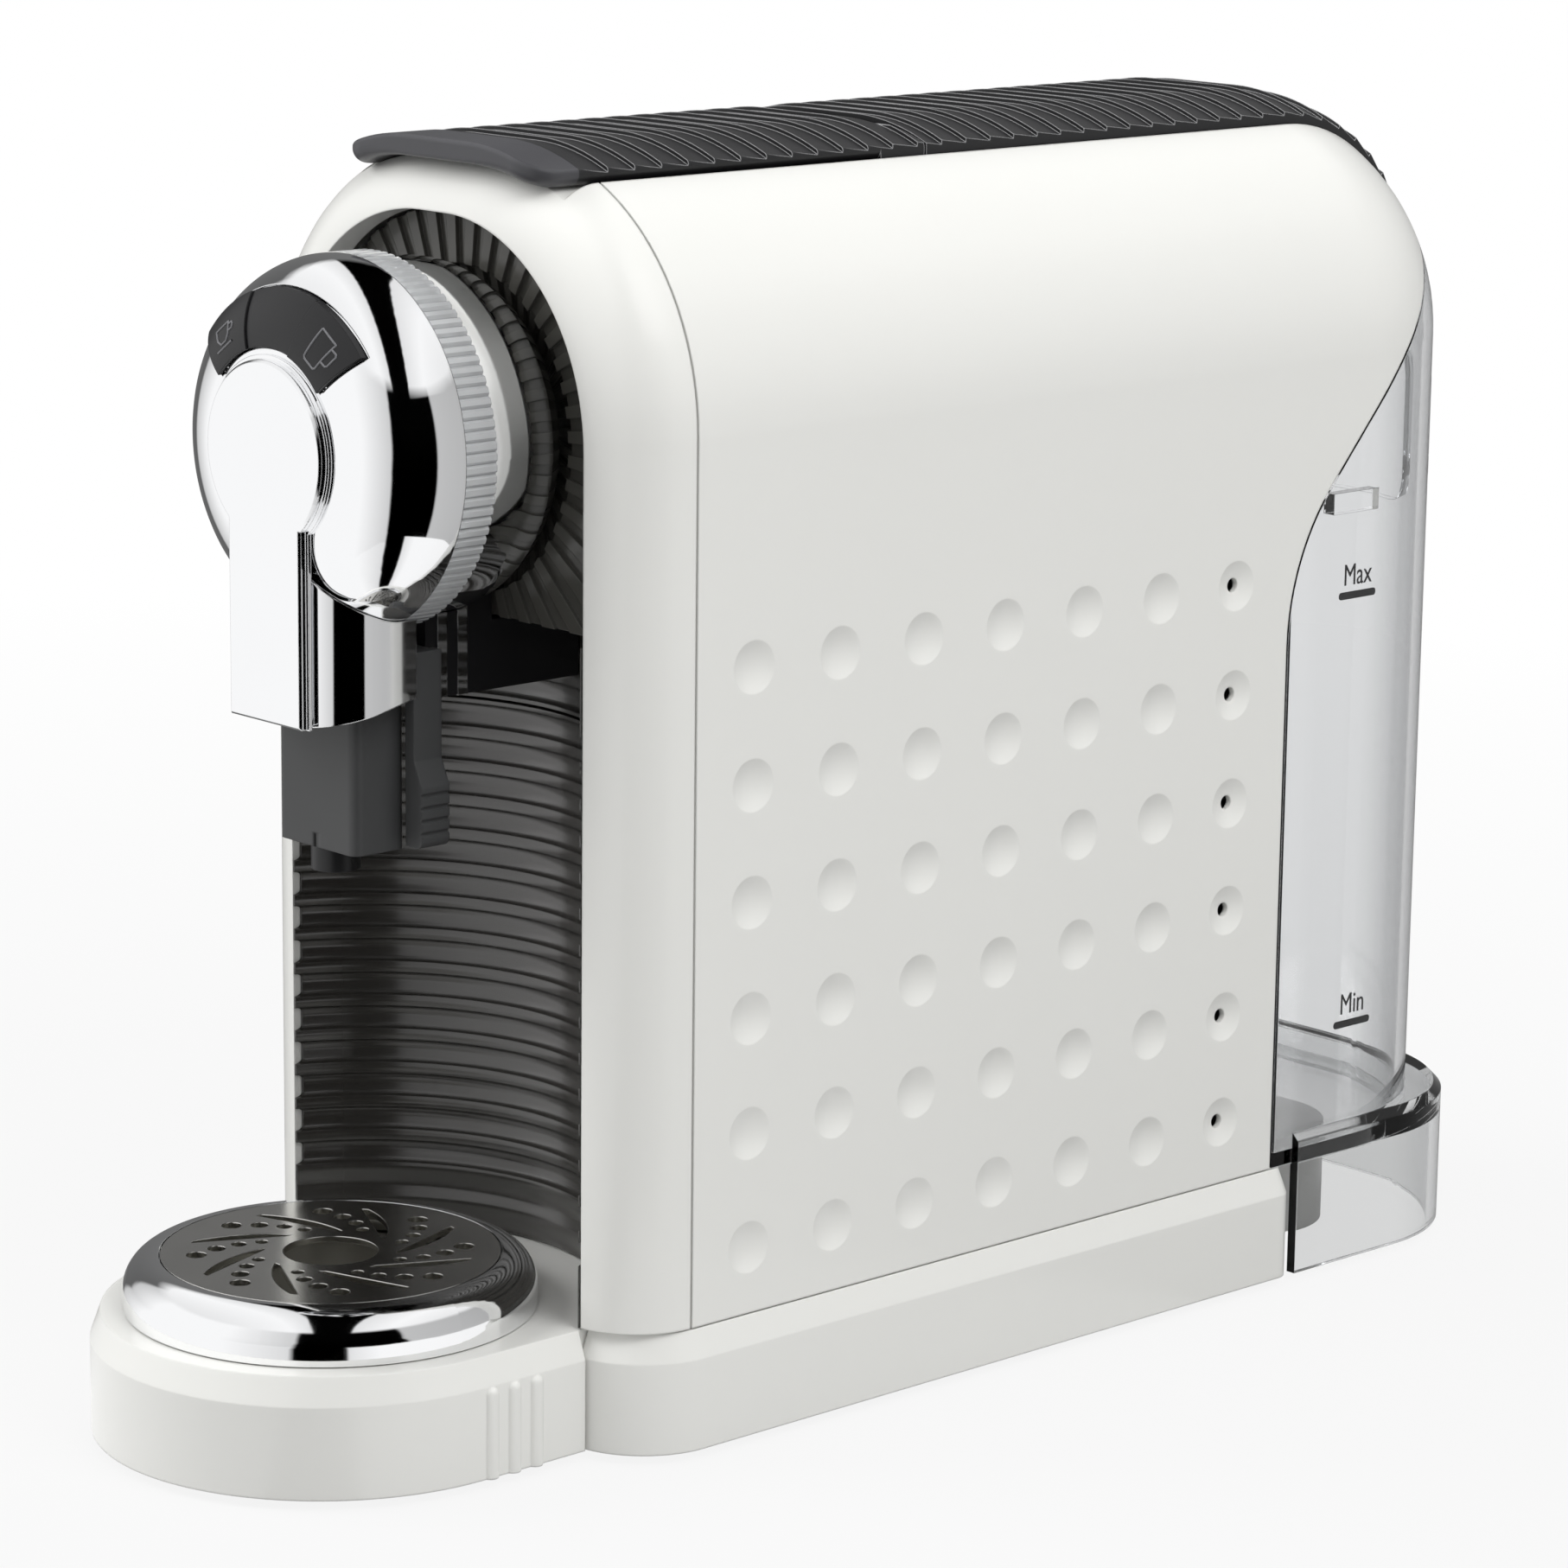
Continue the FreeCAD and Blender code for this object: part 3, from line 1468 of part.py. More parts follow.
def keyhole_form(name, extra, depth):
    """Disc with a stem down to the spout's lower edge."""
    disc = rod(f"{name}_disc", dim.plate_radius + extra, depth, plate_start, "front")
    stem = block(
        f"{name}_stem",
        (-dim.stem_width / 2 - extra, dim.stem_width / 2 + extra),
        (-dim.head_front - depth, -dim.head_front),
        (stem_bottom, head_height),
    )
    return fuse(name, [disc, stem])


def front_rim(box):
    return dim.plate_chamfer if near(box.YMax, -dim.plate_front) else None


plate_flange = keyhole_form("plate_flange", dim.plate_flange, dim.plate_flange_depth)
plate_sharp = keyhole_form("plate_sharp", 0 * dim.plate_flange, dim.plate_front - dim.head_front)
plate_front = edge_finish("plate_front", plate_sharp, "Part::Chamfer", front_rim)
node(fuse("keyhole", [plate_flange, plate_front]), "keyhole_plate")

# Room that the head takes, for the pieces that stop against it
gap = dim.fit / 2
head_room = turned(
    "head_room",
    [
        (0.0, back - gap),
        (neck + gap, back - gap),
        (rim + gap, shoulder_at - gap, dim.dome_round),
        (rim + gap, ring_back - gap),
        (dim.ring_radius + gap, ring_back - gap),
        (dim.ring_radius + gap, dim.head_front + gap, dim.dome_round + gap),
        (0.0, dim.head_front + gap),
    ],
    "front",
    axis_at,
)

# Spout: chrome shroud, column with bright trims, sliding block, nozzle and clips
shroud_half = dim.shroud_width / 2


def shroud_form(name, inset, back_extra):
    half = shroud_half - inset
    front = dim.head_front - inset
    rear = dim.shroud_back - back_extra
    radius = dim.shroud_corner - inset
    corners = [(half, -rear), (-half, -rear), (-half, -front, radius), (half, -front, radius)]
    return prism(name, "XY_Plane", corners, stem_bottom, head_height - stem_bottom)


shroud_outer = shroud_form("shroud_outer", gap, 0.0)
shroud_inner = shroud_form("shroud_inner", dim.shroud_wall, dim.wall)
shroud_blank = cut("shroud_blank", shroud_outer, shroud_inner)
shroud_under = prism(
    "shroud_under",
    "YZ_Plane",
    [
        (-dim.head_front, stem_bottom),
        (-dim.head_front, stem_bottom - dim.wall),
        (-dim.shroud_back, stem_bottom - dim.wall),
        (-dim.shroud_back, stem_bottom + dim.shroud_rise),
    ],
    0.0,
    far,
    True,
)
node(cut_all("shroud", shroud_blank, [head_room, shroud_under]), "spout_shroud")

column_half = dim.column_width / 2
liner_crest = dim.liner_radius - dim.liner_rib_depth
column_back = dim.liner_axis - root(liner_crest * liner_crest - column_half * column_half) + dim.fit
collar_front = back + dim.collar_rise + dim.collar_step + dim.fit
behind_collar = block(
    "behind_collar",
    (-far, far),
    (-collar_front, far),
    (liner_top - dim.fit, far),
)
column_blank = block(
    "column_blank",
    (-column_half, column_half),
    (-dim.column_front, -column_back),
    (column_bottom, head_height),
)
node(cut_all("column", column_blank, [head_room, behind_collar]), "spout_column")
trims = []
for side in (-1, 1):
    for index in range(2):
        x = (column_half, column_half + dim.trim_proud)
        if side < 0:
            x = (-column_half - dim.trim_proud, -column_half)
        back_at = dim.trim_first + index * dim.trim_pitch
        trims.append(
            block(
                f"trim_{len(trims) + 1}",
                x,
                (-back_at - dim.trim_width, -back_at),
                (column_bottom, head_height),
            )
        )
node(cut("trims", fuse("trim_bars", trims), head_room), "column_trims")

block_half = dim.block_width / 2
block_body = prism(
    "block_body",
    "XY_Plane",
    [
        (block_half, -dim.block_back, dim.block_round),
        (-block_half, -dim.block_back, dim.block_round),
        (-block_half, -dim.block_front, dim.block_round),
        (block_half, -dim.block_front, dim.block_round),
    ],
    block_bottom,
    block_top - block_bottom,
)
lug_reach = dim.clip_inside - dim.fit
lugs = block(
    "lugs",
    (-lug_reach, lug_reach),
    (-dim.clip_front, -dim.clip_back),
    (clip_lug_bottom, clip_top - dim.fit),
)
nozzle_at = (0.0, -dim.nozzle_front, nozzle_bottom)
nozzle_socket = rod("nozzle_socket", dim.nozzle_radius, dim.nozzle_height, nozzle_at)
node(cut("spout_body", fuse("spout_blank", [block_body, lugs]), nozzle_socket), "spout_block")
nozzle_outer = rod("nozzle_outer", dim.nozzle_radius, dim.nozzle_height, nozzle_at)
nozzle_hole = rod("nozzle_hole", dim.nozzle_bore, dim.nozzle_height, nozzle_at)
node(cut("nozzle_cut", nozzle_outer, nozzle_hole), "nozzle")

clip_stem_out = dim.clip_inside + dim.clip_stem
clip_flare_out = dim.clip_inside + dim.clip_flare
clip_right = prism(
    "clip_right_body",
    "XZ_Plane",
    [
        (dim.clip_inside, clip_bottom),
        (clip_flare_out, clip_bottom, dim.block_round),
        (clip_flare_out, clip_shoulder - dim.clip_flare),
        (clip_stem_out, clip_shoulder),
        (clip_stem_out, clip_top),
        (dim.clip_inside, clip_top),
    ],
    dim.clip_back,
    dim.clip_front - dim.clip_back,
)
clip_grips = []
for index in range(round(float(dim.clip_grips))):
    grip_at = (clip_flare_out, -dim.clip_back, clip_grip_first + index * dim.clip_grip_pitch)
    grip_name = f"clip_grip_{index + 1}"
    clip_grips.append(rod(grip_name, dim.clip_grip_radius, dim.clip_front - dim.clip_back, grip_at, "front"))
clip = node(cut_all("clip", clip_right, clip_grips), "clip_right")
node(mirror("clip_mirror", clip), "clip_left")

# Smoked lining: ribbed hollow wall above the seam, pleated collar round the head
liner_cutter = new_body("liner_cutter")
cutter_sketch = sketch(liner_cutter, "XY_Plane", dim.foot_height)
circle(cutter_sketch, 0.0, 0.0, dim.liner_radius - dim.liner_rib_depth)
pad(liner_cutter, cutter_sketch, head_height)
ring_sketch = sketch(liner_cutter, "XZ_Plane")
rib_inner = dim.liner_radius - 3 * dim.liner_rib_depth
rib_start = liner_seam + dim.liner_rib_pitch / 2
outline(
    ring_sketch,
    [
        (rib_inner, rib_start - dim.liner_rib_half),
        (dim.liner_radius, rib_start - dim.liner_rib_half, dim.liner_rib_depth * full_round),
        (dim.liner_radius, rib_start + dim.liner_rib_half, dim.liner_rib_depth * full_round),
        (rib_inner, rib_start + dim.liner_rib_half),
    ],
)
spin(liner_cutter, ring_sketch)
place(liner_cutter, 0.0, -dim.liner_axis, 0.0)
liner_ring = liner_cutter.Tip
rib_lines = liner_cutter.newObject("PartDesign::LinearPattern", "rib_lines")
rib_lines.Originals = [liner_ring]
up_axis = [item for item in liner_cutter.Origin.OriginFeatures if item.Role == "Z_Axis"][0]
rib_lines.Direction = (up_axis, [""])
rib_lines.Reversed = True
rib_total = int(float(liner_seam - base_top) / float(dim.liner_rib_pitch))
bind(rib_lines, "Length", (rib_total - 1) * dim.liner_rib_pitch)
rib_lines.Occurrences = rib_total
liner_cutter.Tip = rib_lines

liner_half = half_opening - dim.fit
liner_zone = block(
    "liner_zone",
    (-liner_half, liner_half),
    (-dim.body_front, 0.0),
    (liner_seam + dim.fit, liner_top),
)
liner_back = rod(
    "liner_back", dim.liner_radius + dim.liner_wall, head_height, (0.0, -dim.liner_axis, dim.foot_height)
)
upper_blank = common("upper_blank", liner_zone, liner_back)
node(cut("upper", upper_blank, liner_cutter), "upper_liner")


def collar_solid(name, lowered):
    """Funnel round the head in two steps; lowered sinks its front face."""
    inner = dim.collar_radius
    step = dim.collar_step_radius
    outer = dim.collar_outer
    start = back - 2 * dim.fit - lowered
    rise = dim.collar_rise
    corners = [
        (inner, start - dim.collar_wall),
        (inner, start),
        (step, start + rise),
        (step, start + rise + dim.collar_step),
        (outer, start + rise + dim.collar_step + dim.fit),
        (outer, start + rise + dim.collar_step + dim.fit - dim.collar_wall),
        (step + dim.collar_wall, start + rise + dim.collar_step - dim.collar_wall),
        (step + dim.collar_wall, start + rise - dim.collar_wall / 2),
    ]
    return turned(name, corners, "front", axis_at)


def pleat_wedges():
    """Radial wedges round the head axis, one for each pleat."""
    count = round(float(dim.pleats))
    reach = float(dim.body_width)
    half = reach * math.tan(math.pi / count / 2)
    wedge = Part.Face(
        Part.makePolygon([Vector(), Vector(reach, -half, 0), Vector(reach, half, 0), Vector()])
    ).extrude(Vector(0, 0, float(dim.body_front)))
    made = []
    for index in range(count):
        copy = wedge.copy()
        copy.rotate(Vector(), Vector(0, 0, 1), 360.0 * (index + 0.5) / count)
        made.append(copy)
    return Part.makeCompound(made)


wedges = shape("wedges", pleat_wedges())
wedges.Placement = FreeCAD.Placement(Vector(), turns["front"])
place(wedges, 0.0, 0.0, head_height)
collar_zone = common(
    "collar_zone",
    arch("collar_arch", dim.fit, back - dim.collar_wall - dim.wall, dim.body_front),
    block("collar_above", (-far, far), (-far, far), (liner_top + dim.fit, far)),
)
collar_full = common("collar_full", collar_solid("collar_front", 0 * dim.fit), collar_zone)
collar_sunk = common("collar_sunk", collar_solid("collar_back", dim.pleat_depth), collar_zone)
collar_crests = common("collar_crests", collar_full, wedges)
node(fuse("collar", [collar_sunk, collar_crests]), "pleated_collar")

# Capsule bin: its hollow front wall is the lower lining
bin_bottom = base_top + dim.fit
bin_top = liner_seam - dim.fit
bin_depth = (-dim.body_front, -dim.bin_rear)
bin_block = block("bin_block", (-liner_half, liner_half), bin_depth, (bin_bottom, bin_top))
bin_room_block = block(
    "bin_room_block",
    (dim.bin_wall - liner_half, liner_half - dim.bin_wall),
    (-dim.body_front, -dim.bin_rear - dim.bin_wall),
    (bin_bottom + dim.bin_wall, far),
)
bin_room = cut("bin_room", bin_room_block, liner_back)
node(cut_all("bin", bin_block, [liner_cutter, bin_room]), "capsule_bin")

# Drip tray: half-round front, grip ribs, tongue under the bin and a well for the pan
tray_axis = (0.0, -dim.tray_centre, 0.0)
rim_low = base_top - dim.base_chamfer
rim_half = dim.tray_radius - dim.base_flare
tray_disc = turned(
    "tray_disc",
    [
        (0.0, dim.foot_height),
        (dim.tray_radius, dim.foot_height),
        (dim.tray_radius, rim_low),
        (rim_half, base_top),
        (0.0, base_top),
    ],
    "up",
    tray_axis,
)
tray_back_edge = dim.body_front + dim.fit
tray_front_zone = block("tray_front_zone", (-far, far), (-far, -tray_back_edge), (0 * far, far))
tray_nose = common("tray_nose", tray_disc, tray_front_zone)
tray_neck = prism(
    "tray_neck",
    "XZ_Plane",
    [
        (-dim.tray_radius, dim.foot_height),
        (dim.tray_radius, dim.foot_height),
        (dim.tray_radius, rim_low),
        (rim_half, base_top),
        (-rim_half, base_top),
        (-dim.tray_radius, rim_low),
    ],
    tray_back_edge,
    dim.tray_centre - tray_back_edge,
)
tongue_half = half_opening - dim.fit
tray_tongue = block(
    "tray_tongue",
    (-tongue_half, tongue_half),
    (-dim.tray_centre, -dim.tray_tongue_back),
    (dim.foot_height + dim.tray_tongue_floor, base_top),
)
grip_ribs = []
for side in (-1, 1):
    for index in range(round(float(dim.rib_count))):
        round_size = dim.rib_width / 2
        rib_x = side * (dim.tray_radius + dim.rib_proud - round_size)
        rib_y = -dim.rib_back - index * dim.rib_spacing
        rib_length = rim_low - dim.foot_height - round_size
        name = f"grip_rib_{len(grip_ribs) + 1}"
        bar = rod(name, round_size, rib_length, (rib_x, rib_y, dim.foot_height))
        tip = doc.addObject("Part::Sphere", f"{name}_tip")
        bind(tip, "Radius", round_size)
        place(tip, rib_x, rib_y, rim_low - round_size)
        grip_ribs.append(fuse(f"{name}_round", [bar, tip]))
tray_well = rod(
    "tray_well",
    dim.pan_radius + dim.fit,
    dim.base_height,
    (0.0, -dim.tray_centre, dim.foot_height + dim.tray_floor),
)
tray_blank = fuse("tray_blank", [tray_nose, tray_neck, tray_tongue] + grip_ribs)
node(cut("tray", tray_blank, tray_well), "drip_tray")

pan_bottom = dim.foot_height + dim.tray_floor + dim.fit
pan_inner = dim.pan_radius - dim.pan_wall
node(
    turned(
        "pan",
        [
            (0.0, pan_bottom),
            (dim.pan_radius, pan_bottom),
            (dim.pan_radius, dim.pan_rim_height),
            (pan_inner, dim.pan_rim_height),
            (pan_inner, pan_bottom + dim.pan_wall),
            (0.0, pan_bottom + dim.pan_wall),
        ],
        "up",
        tray_axis,
    ),
    "drip_pan",
)
ring_low = base_top + dim.fit
ledge = dim.drip_top - dim.grille_thickness - dim.drip_lip / 4
ring_inner = dim.pan_radius + dim.fit
node(
    turned(
        "drip_ring_body",
        [
            (ring_inner, ring_low),
            (dim.drip_radius, ring_low),
            (dim.drip_radius, dim.drip_top, dim.drip_round),
            (dim.grille_radius + dim.fit, dim.drip_top),
            (dim.grille_radius + dim.fit, ledge),
            (dim.grille_radius - dim.drip_lip, ledge),
            (dim.grille_radius - dim.drip_lip, ledge - dim.drip_wall),
            (ring_inner, ledge - 3 * dim.drip_wall),
        ],
        "up",
        tray_axis,
    ),
    "drip_ring",
)


# Grille with a swirl of curved slots and rows of holes
def swirl_tools():
    """One curved slot and one row of growing holes for each arm of the swirl."""
    count = round(float(dim.grille_arms))
    inner = float(dim.grille_slot_inner)
    outer = float(dim.grille_slot_outer)
    half = float(dim.grille_slot_width) / 2
    height = 4 * float(dim.grille_thickness)
    sweep = math.radians(float(dim.grille_sweep))
    swell = float(dim.grille_slot_swell)
    bow = math.radians(float(dim.grille_slot_bow))
    holes = round(float(dim.grille_holes))
    made = []

    def polar(radius, angle):
        return Vector(radius * math.cos(angle), radius * math.sin(angle), 0)

    def swirl(radius, offset):
        return sweep * (radius - inner) / (outer - inner) + offset

    for arm in range(count):
        turn = 2 * math.pi * arm / count
        middle_radius = (inner + outer) / 2
        middle_half = half * swell / middle_radius
        flanks = []
        for side in (-1, 1):
            flanks.append([
                polar(inner, turn + swirl(inner, side * half / inner)),
                polar(middle_radius, turn + swirl(middle_radius, side * middle_half) + bow),
                polar(outer, turn + swirl(outer, side * half / outer)),
            ])
        edges = [Part.Arc(*flank).toShape() for flank in flanks]
        for end in (0, -1):
            edges.append(Part.LineSegment(flanks[0][end], flanks[1][end]).toShape())
        face = Part.Face(Part.Wire(Part.__sortEdges__(edges)))
        made.append(face.extrude(Vector(0, 0, height)))
        for step in range(holes):
            radius = inner + (outer - inner) * (step + 1 / 2) / holes
            angle = turn + swirl(radius, math.pi / count)
            hole = float(dim.grille_hole) + step * float(dim.grille_hole_growth)
            made.append(Part.makeCylinder(hole, height, polar(radius, angle)))
    return Part.makeCompound(made)


grille_low = dim.drip_top - dim.grille_thickness
swirls = shape("swirls", swirl_tools())
place(swirls, 0.0, -dim.tray_centre, grille_low - dim.grille_thickness)
grille_disc = turned(
    "grille_disc",
    [
        (dim.grille_hub, grille_low),
        (dim.grille_radius, grille_low),
        (dim.grille_radius, dim.drip_top),
        (dim.grille_hub, dim.drip_top),
    ],
    "up",
    tray_axis,
)
node(cut("grille", grille_disc, swirls), "drip_grille")

# Every object is checked before any file is written
doc.recompute()
for item in doc.Objects:
    if any(word in item.State for word in ("Invalid", "Error")):
        raise RuntimeError(f"{item.Name} failed: {item.State}")
for item in nodes:
    if item.Shape.isNull() or not item.Shape.isValid() or not item.Shape.Solids:
        raise RuntimeError(f"{item.Label} has no valid solid")
for item in nodes:
    item.Shape.exportStep(f"parts/{item.Label}.step")
print(f"{len(nodes)} sub-parts")
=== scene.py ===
import math

import bmesh
import bpy
from mathutils import Matrix, Vector
from mathutils.bvhtree import BVHTree


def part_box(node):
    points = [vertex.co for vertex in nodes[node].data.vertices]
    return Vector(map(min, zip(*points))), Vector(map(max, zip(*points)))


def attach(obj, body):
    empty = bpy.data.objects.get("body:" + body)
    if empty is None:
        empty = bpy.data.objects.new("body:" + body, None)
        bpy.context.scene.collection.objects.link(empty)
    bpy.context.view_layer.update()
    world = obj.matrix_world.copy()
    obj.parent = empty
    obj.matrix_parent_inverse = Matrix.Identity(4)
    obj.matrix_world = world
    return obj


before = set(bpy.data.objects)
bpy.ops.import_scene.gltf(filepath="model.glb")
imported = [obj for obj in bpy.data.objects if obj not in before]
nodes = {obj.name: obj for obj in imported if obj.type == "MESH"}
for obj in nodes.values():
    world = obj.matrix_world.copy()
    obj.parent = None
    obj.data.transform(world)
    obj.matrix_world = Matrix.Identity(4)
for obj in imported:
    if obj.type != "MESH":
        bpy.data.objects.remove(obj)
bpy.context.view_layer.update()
mm = 0.001
white = (1.0, 1.0, 1.0)
print("frame loaded, nodes:", len(nodes))

# shared shader effects
effects = {
    "toneDetail": 5.0,
    "grainDetail": 2.0,
    "edgeLightSamples": 8,
    "edgeSamples": 6,
    "flatTurn": 0.98,  # cosine of a turn too slight to be an edge
    "sharpTurn": 0.8,  # cosine of a turn that is an edge in full
    "hardBorder": 0.2 * mm,
}


def startGroup(name, inputs, outputs):
    group = bpy.data.node_groups.new(name, "ShaderNodeTree")
    for side, sockets in (("INPUT", inputs), ("OUTPUT", outputs)):
        for label, kind in sockets:
            group.interface.new_socket(label, in_out=side, socket_type=kind)
    return group, group.nodes.new("NodeGroupInput"), group.nodes.new("NodeGroupOutput")


def placeGroup(tree, group, values):
    node = tree.nodes.new("ShaderNodeGroup")
    node.node_tree = group
    for socket, value in values.items():
        node.inputs[socket].default_value = (*value, 1.0) if isinstance(value, tuple) else value
    return node


def noiseNode(tree, detail):
    spot = tree.nodes.new("ShaderNodeTexCoord")
    noise = tree.nodes.new("ShaderNodeTexNoise")
    noise.inputs["Detail"].default_value = detail
    tree.links.new(spot.outputs["Object"], noise.inputs["Vector"])
    return noise


def rangeNode(tree, low, high):
    spread = tree.nodes.new("ShaderNodeMapRange")
    spread.inputs["From Min"].default_value = low
    spread.inputs["From Max"].default_value = high
    return spread


def wayParts(tree, place):
    parts = tree.nodes.new("ShaderNodeSeparateXYZ")
    tree.links.new(place, parts.inputs[0])
    return parts.outputs


def mathNode(tree, operation, *values):
    node = tree.nodes.new("ShaderNodeMath")
    node.operation = operation
    for socket, value in zip(node.inputs, values):
        if isinstance(value, (int, float)):
            socket.default_value = value
        else:
            tree.links.new(value, socket)
    return node.outputs[0]


def vectorNode(tree, operation):
    node = tree.nodes.new("ShaderNodeVectorMath")
    node.operation = operation
    return node


def blendNode(tree, share, first, second):
    mix = tree.nodes.new("ShaderNodeMix")
    mix.data_type = "RGBA"
    for socket, value in (("Factor", share), ("A", first), ("B", second)):
        if isinstance(value, tuple):
            mix.inputs[socket].default_value = (*value, 1.0)
        else:
            tree.links.new(value, mix.inputs[socket])
    return mix.outputs["Result"]


def tonePatches():
    # slow and fine changes of colour and gloss over a moulded surface
    group, given, made = startGroup(
        "tonePatches",
        [("Color", "NodeSocketColor"), ("Patch Scale", "NodeSocketFloat"), ("Depth", "NodeSocketFloat"),
         ("Roughness", "NodeSocketFloat"), ("Gloss Spread", "NodeSocketFloat")],
        [("Color", "NodeSocketColor"), ("Roughness", "NodeSocketFloat")],
    )
    links = group.links
    noise = noiseNode(group, effects["toneDetail"])
    links.new(given.outputs["Patch Scale"], noise.inputs["Scale"])
    centred = mathNode(group, "SUBTRACT", noise.outputs["Fac"], 0.5)
    shade = mathNode(group, "MULTIPLY_ADD", centred, given.outputs["Depth"], 1.0)
    tint = vectorNode(group, "SCALE")
    links.new(given.outputs["Color"], tint.inputs[0])
    links.new(shade, tint.inputs["Scale"])
    links.new(tint.outputs[0], made.inputs["Color"])
    spread = given.outputs["Gloss Spread"]
    gloss = mathNode(group, "MULTIPLY_ADD", centred, spread, given.outputs["Roughness"])
    links.new(gloss, made.inputs["Roughness"])
    return group


def paintedEdgeLight():
    # another colour where the surface turns sharply, a painted highlight where it is paler and painted shade
    # where it is darker
    group, given, made = startGroup(
        "paintedEdgeLight",
        [("Color", "NodeSocketColor"), ("Edge Light Color", "NodeSocketColor"), ("Reach", "NodeSocketFloat"),
         ("Amount", "NodeSocketFloat")],
        [("Color", "NodeSocketColor")],
    )
    links = group.links
    edge = group.nodes.new("ShaderNodeBevel")
    edge.samples = effects["edgeLightSamples"]
    links.new(given.outputs["Reach"], edge.inputs["Radius"])
    flat = group.nodes.new("ShaderNodeNewGeometry")
    turned = vectorNode(group, "DOT_PRODUCT")
    links.new(edge.outputs["Normal"], turned.inputs[0])
    links.new(flat.outputs["Normal"], turned.inputs[1])
    sharp = rangeNode(group, effects["flatTurn"], effects["sharpTurn"])
    links.new(turned.outputs["Value"], sharp.inputs["Value"])
    share = mathNode(group, "MULTIPLY", sharp.outputs[0], given.outputs["Amount"])
    edgeLight = blendNode(group, share, given.outputs["Color"], given.outputs["Edge Light Color"])
    links.new(edgeLight, made.inputs["Color"])
    return group


def mouldSkin():
    # rounded edges with a fine grain on top
    group, given, made = startGroup(
        "mouldSkin",
        [("Edge Radius", "NodeSocketFloat"), ("Grain Scale", "NodeSocketFloat"),
         ("Grain Height", "NodeSocketFloat")],
        [("Normal", "NodeSocketVector")],
    )
    links = group.links
    edge = group.nodes.new("ShaderNodeBevel")
    edge.samples = effects["edgeSamples"]
    links.new(given.outputs["Edge Radius"], edge.inputs["Radius"])
    noise = noiseNode(group, effects["grainDetail"])
    links.new(given.outputs["Grain Scale"], noise.inputs["Scale"])
    bump = group.nodes.new("ShaderNodeBump")
    bump.inputs["Strength"].default_value = 1.0
    links.new(given.outputs["Grain Height"], bump.inputs["Distance"])
    links.new(noise.outputs["Fac"], bump.inputs["Height"])
    links.new(edge.outputs["Normal"], bump.inputs["Normal"])
    links.new(bump.outputs["Normal"], made.inputs["Normal"])
    return group


toneGroup = tonePatches()
edgeLightGroup = paintedEdgeLight()
skinGroup = mouldSkin()


def secondTone(tree, painted, behind):
    # another colour on what lies further back than start, with a soft border if over is given; used here for
    # painted light: the lever's paler lip as a painted sheen, painted shade on the base under the tank and at
    # the tank's rear
    spot = tree.nodes.new("ShaderNodeTexCoord")
    over = behind.get("over", effects["hardBorder"])
    past = rangeNode(tree, behind["start"], behind["start"] + over)
    tree.links.new(wayParts(tree, spot.outputs["Object"])["Y"], past.inputs["Value"])
    return blendNode(tree, past.outputs[0], painted, behind["color"])


def roundedRibs(tree, facing, wave):
    # softens level ribs, crests at the start height and every pitch from it
    height = wayParts(tree, tree.nodes.new("ShaderNodeTexCoord").outputs["Object"])["Z"]
    climb = mathNode(tree, "SUBTRACT", height, wave["start"])
    turns = mathNode(tree, "MULTIPLY", climb, math.tau / (wave["pitch"] * mm))
    bump = tree.nodes.new("ShaderNodeBump")
    bump.inputs["Strength"].default_value = 1.0
    bump.inputs["Distance"].default_value = wave["height"] * mm / 2
    tree.links.new(mathNode(tree, "COSINE", turns), bump.inputs["Height"])
    tree.links.new(facing, bump.inputs["Normal"])
    return bump.outputs["Normal"]


# what a finish has unless it says otherwise, edge and grain height in millimetres
plainFinish = {
    "patchScale": 25.0, "patchDepth": 0.06, "glossSpread": 0.1,
    "edge": 0.4, "grainScale": 2500.0, "grainHeight": 0.004,
}
plainSockets = {
    "metallic": "Metallic", "ior": "IOR", "transmission": "Transmission Weight", "coat": "Coat Weight",
    "coatRoughness": "Coat Roughness", "specular": "Specular IOR Level",
}


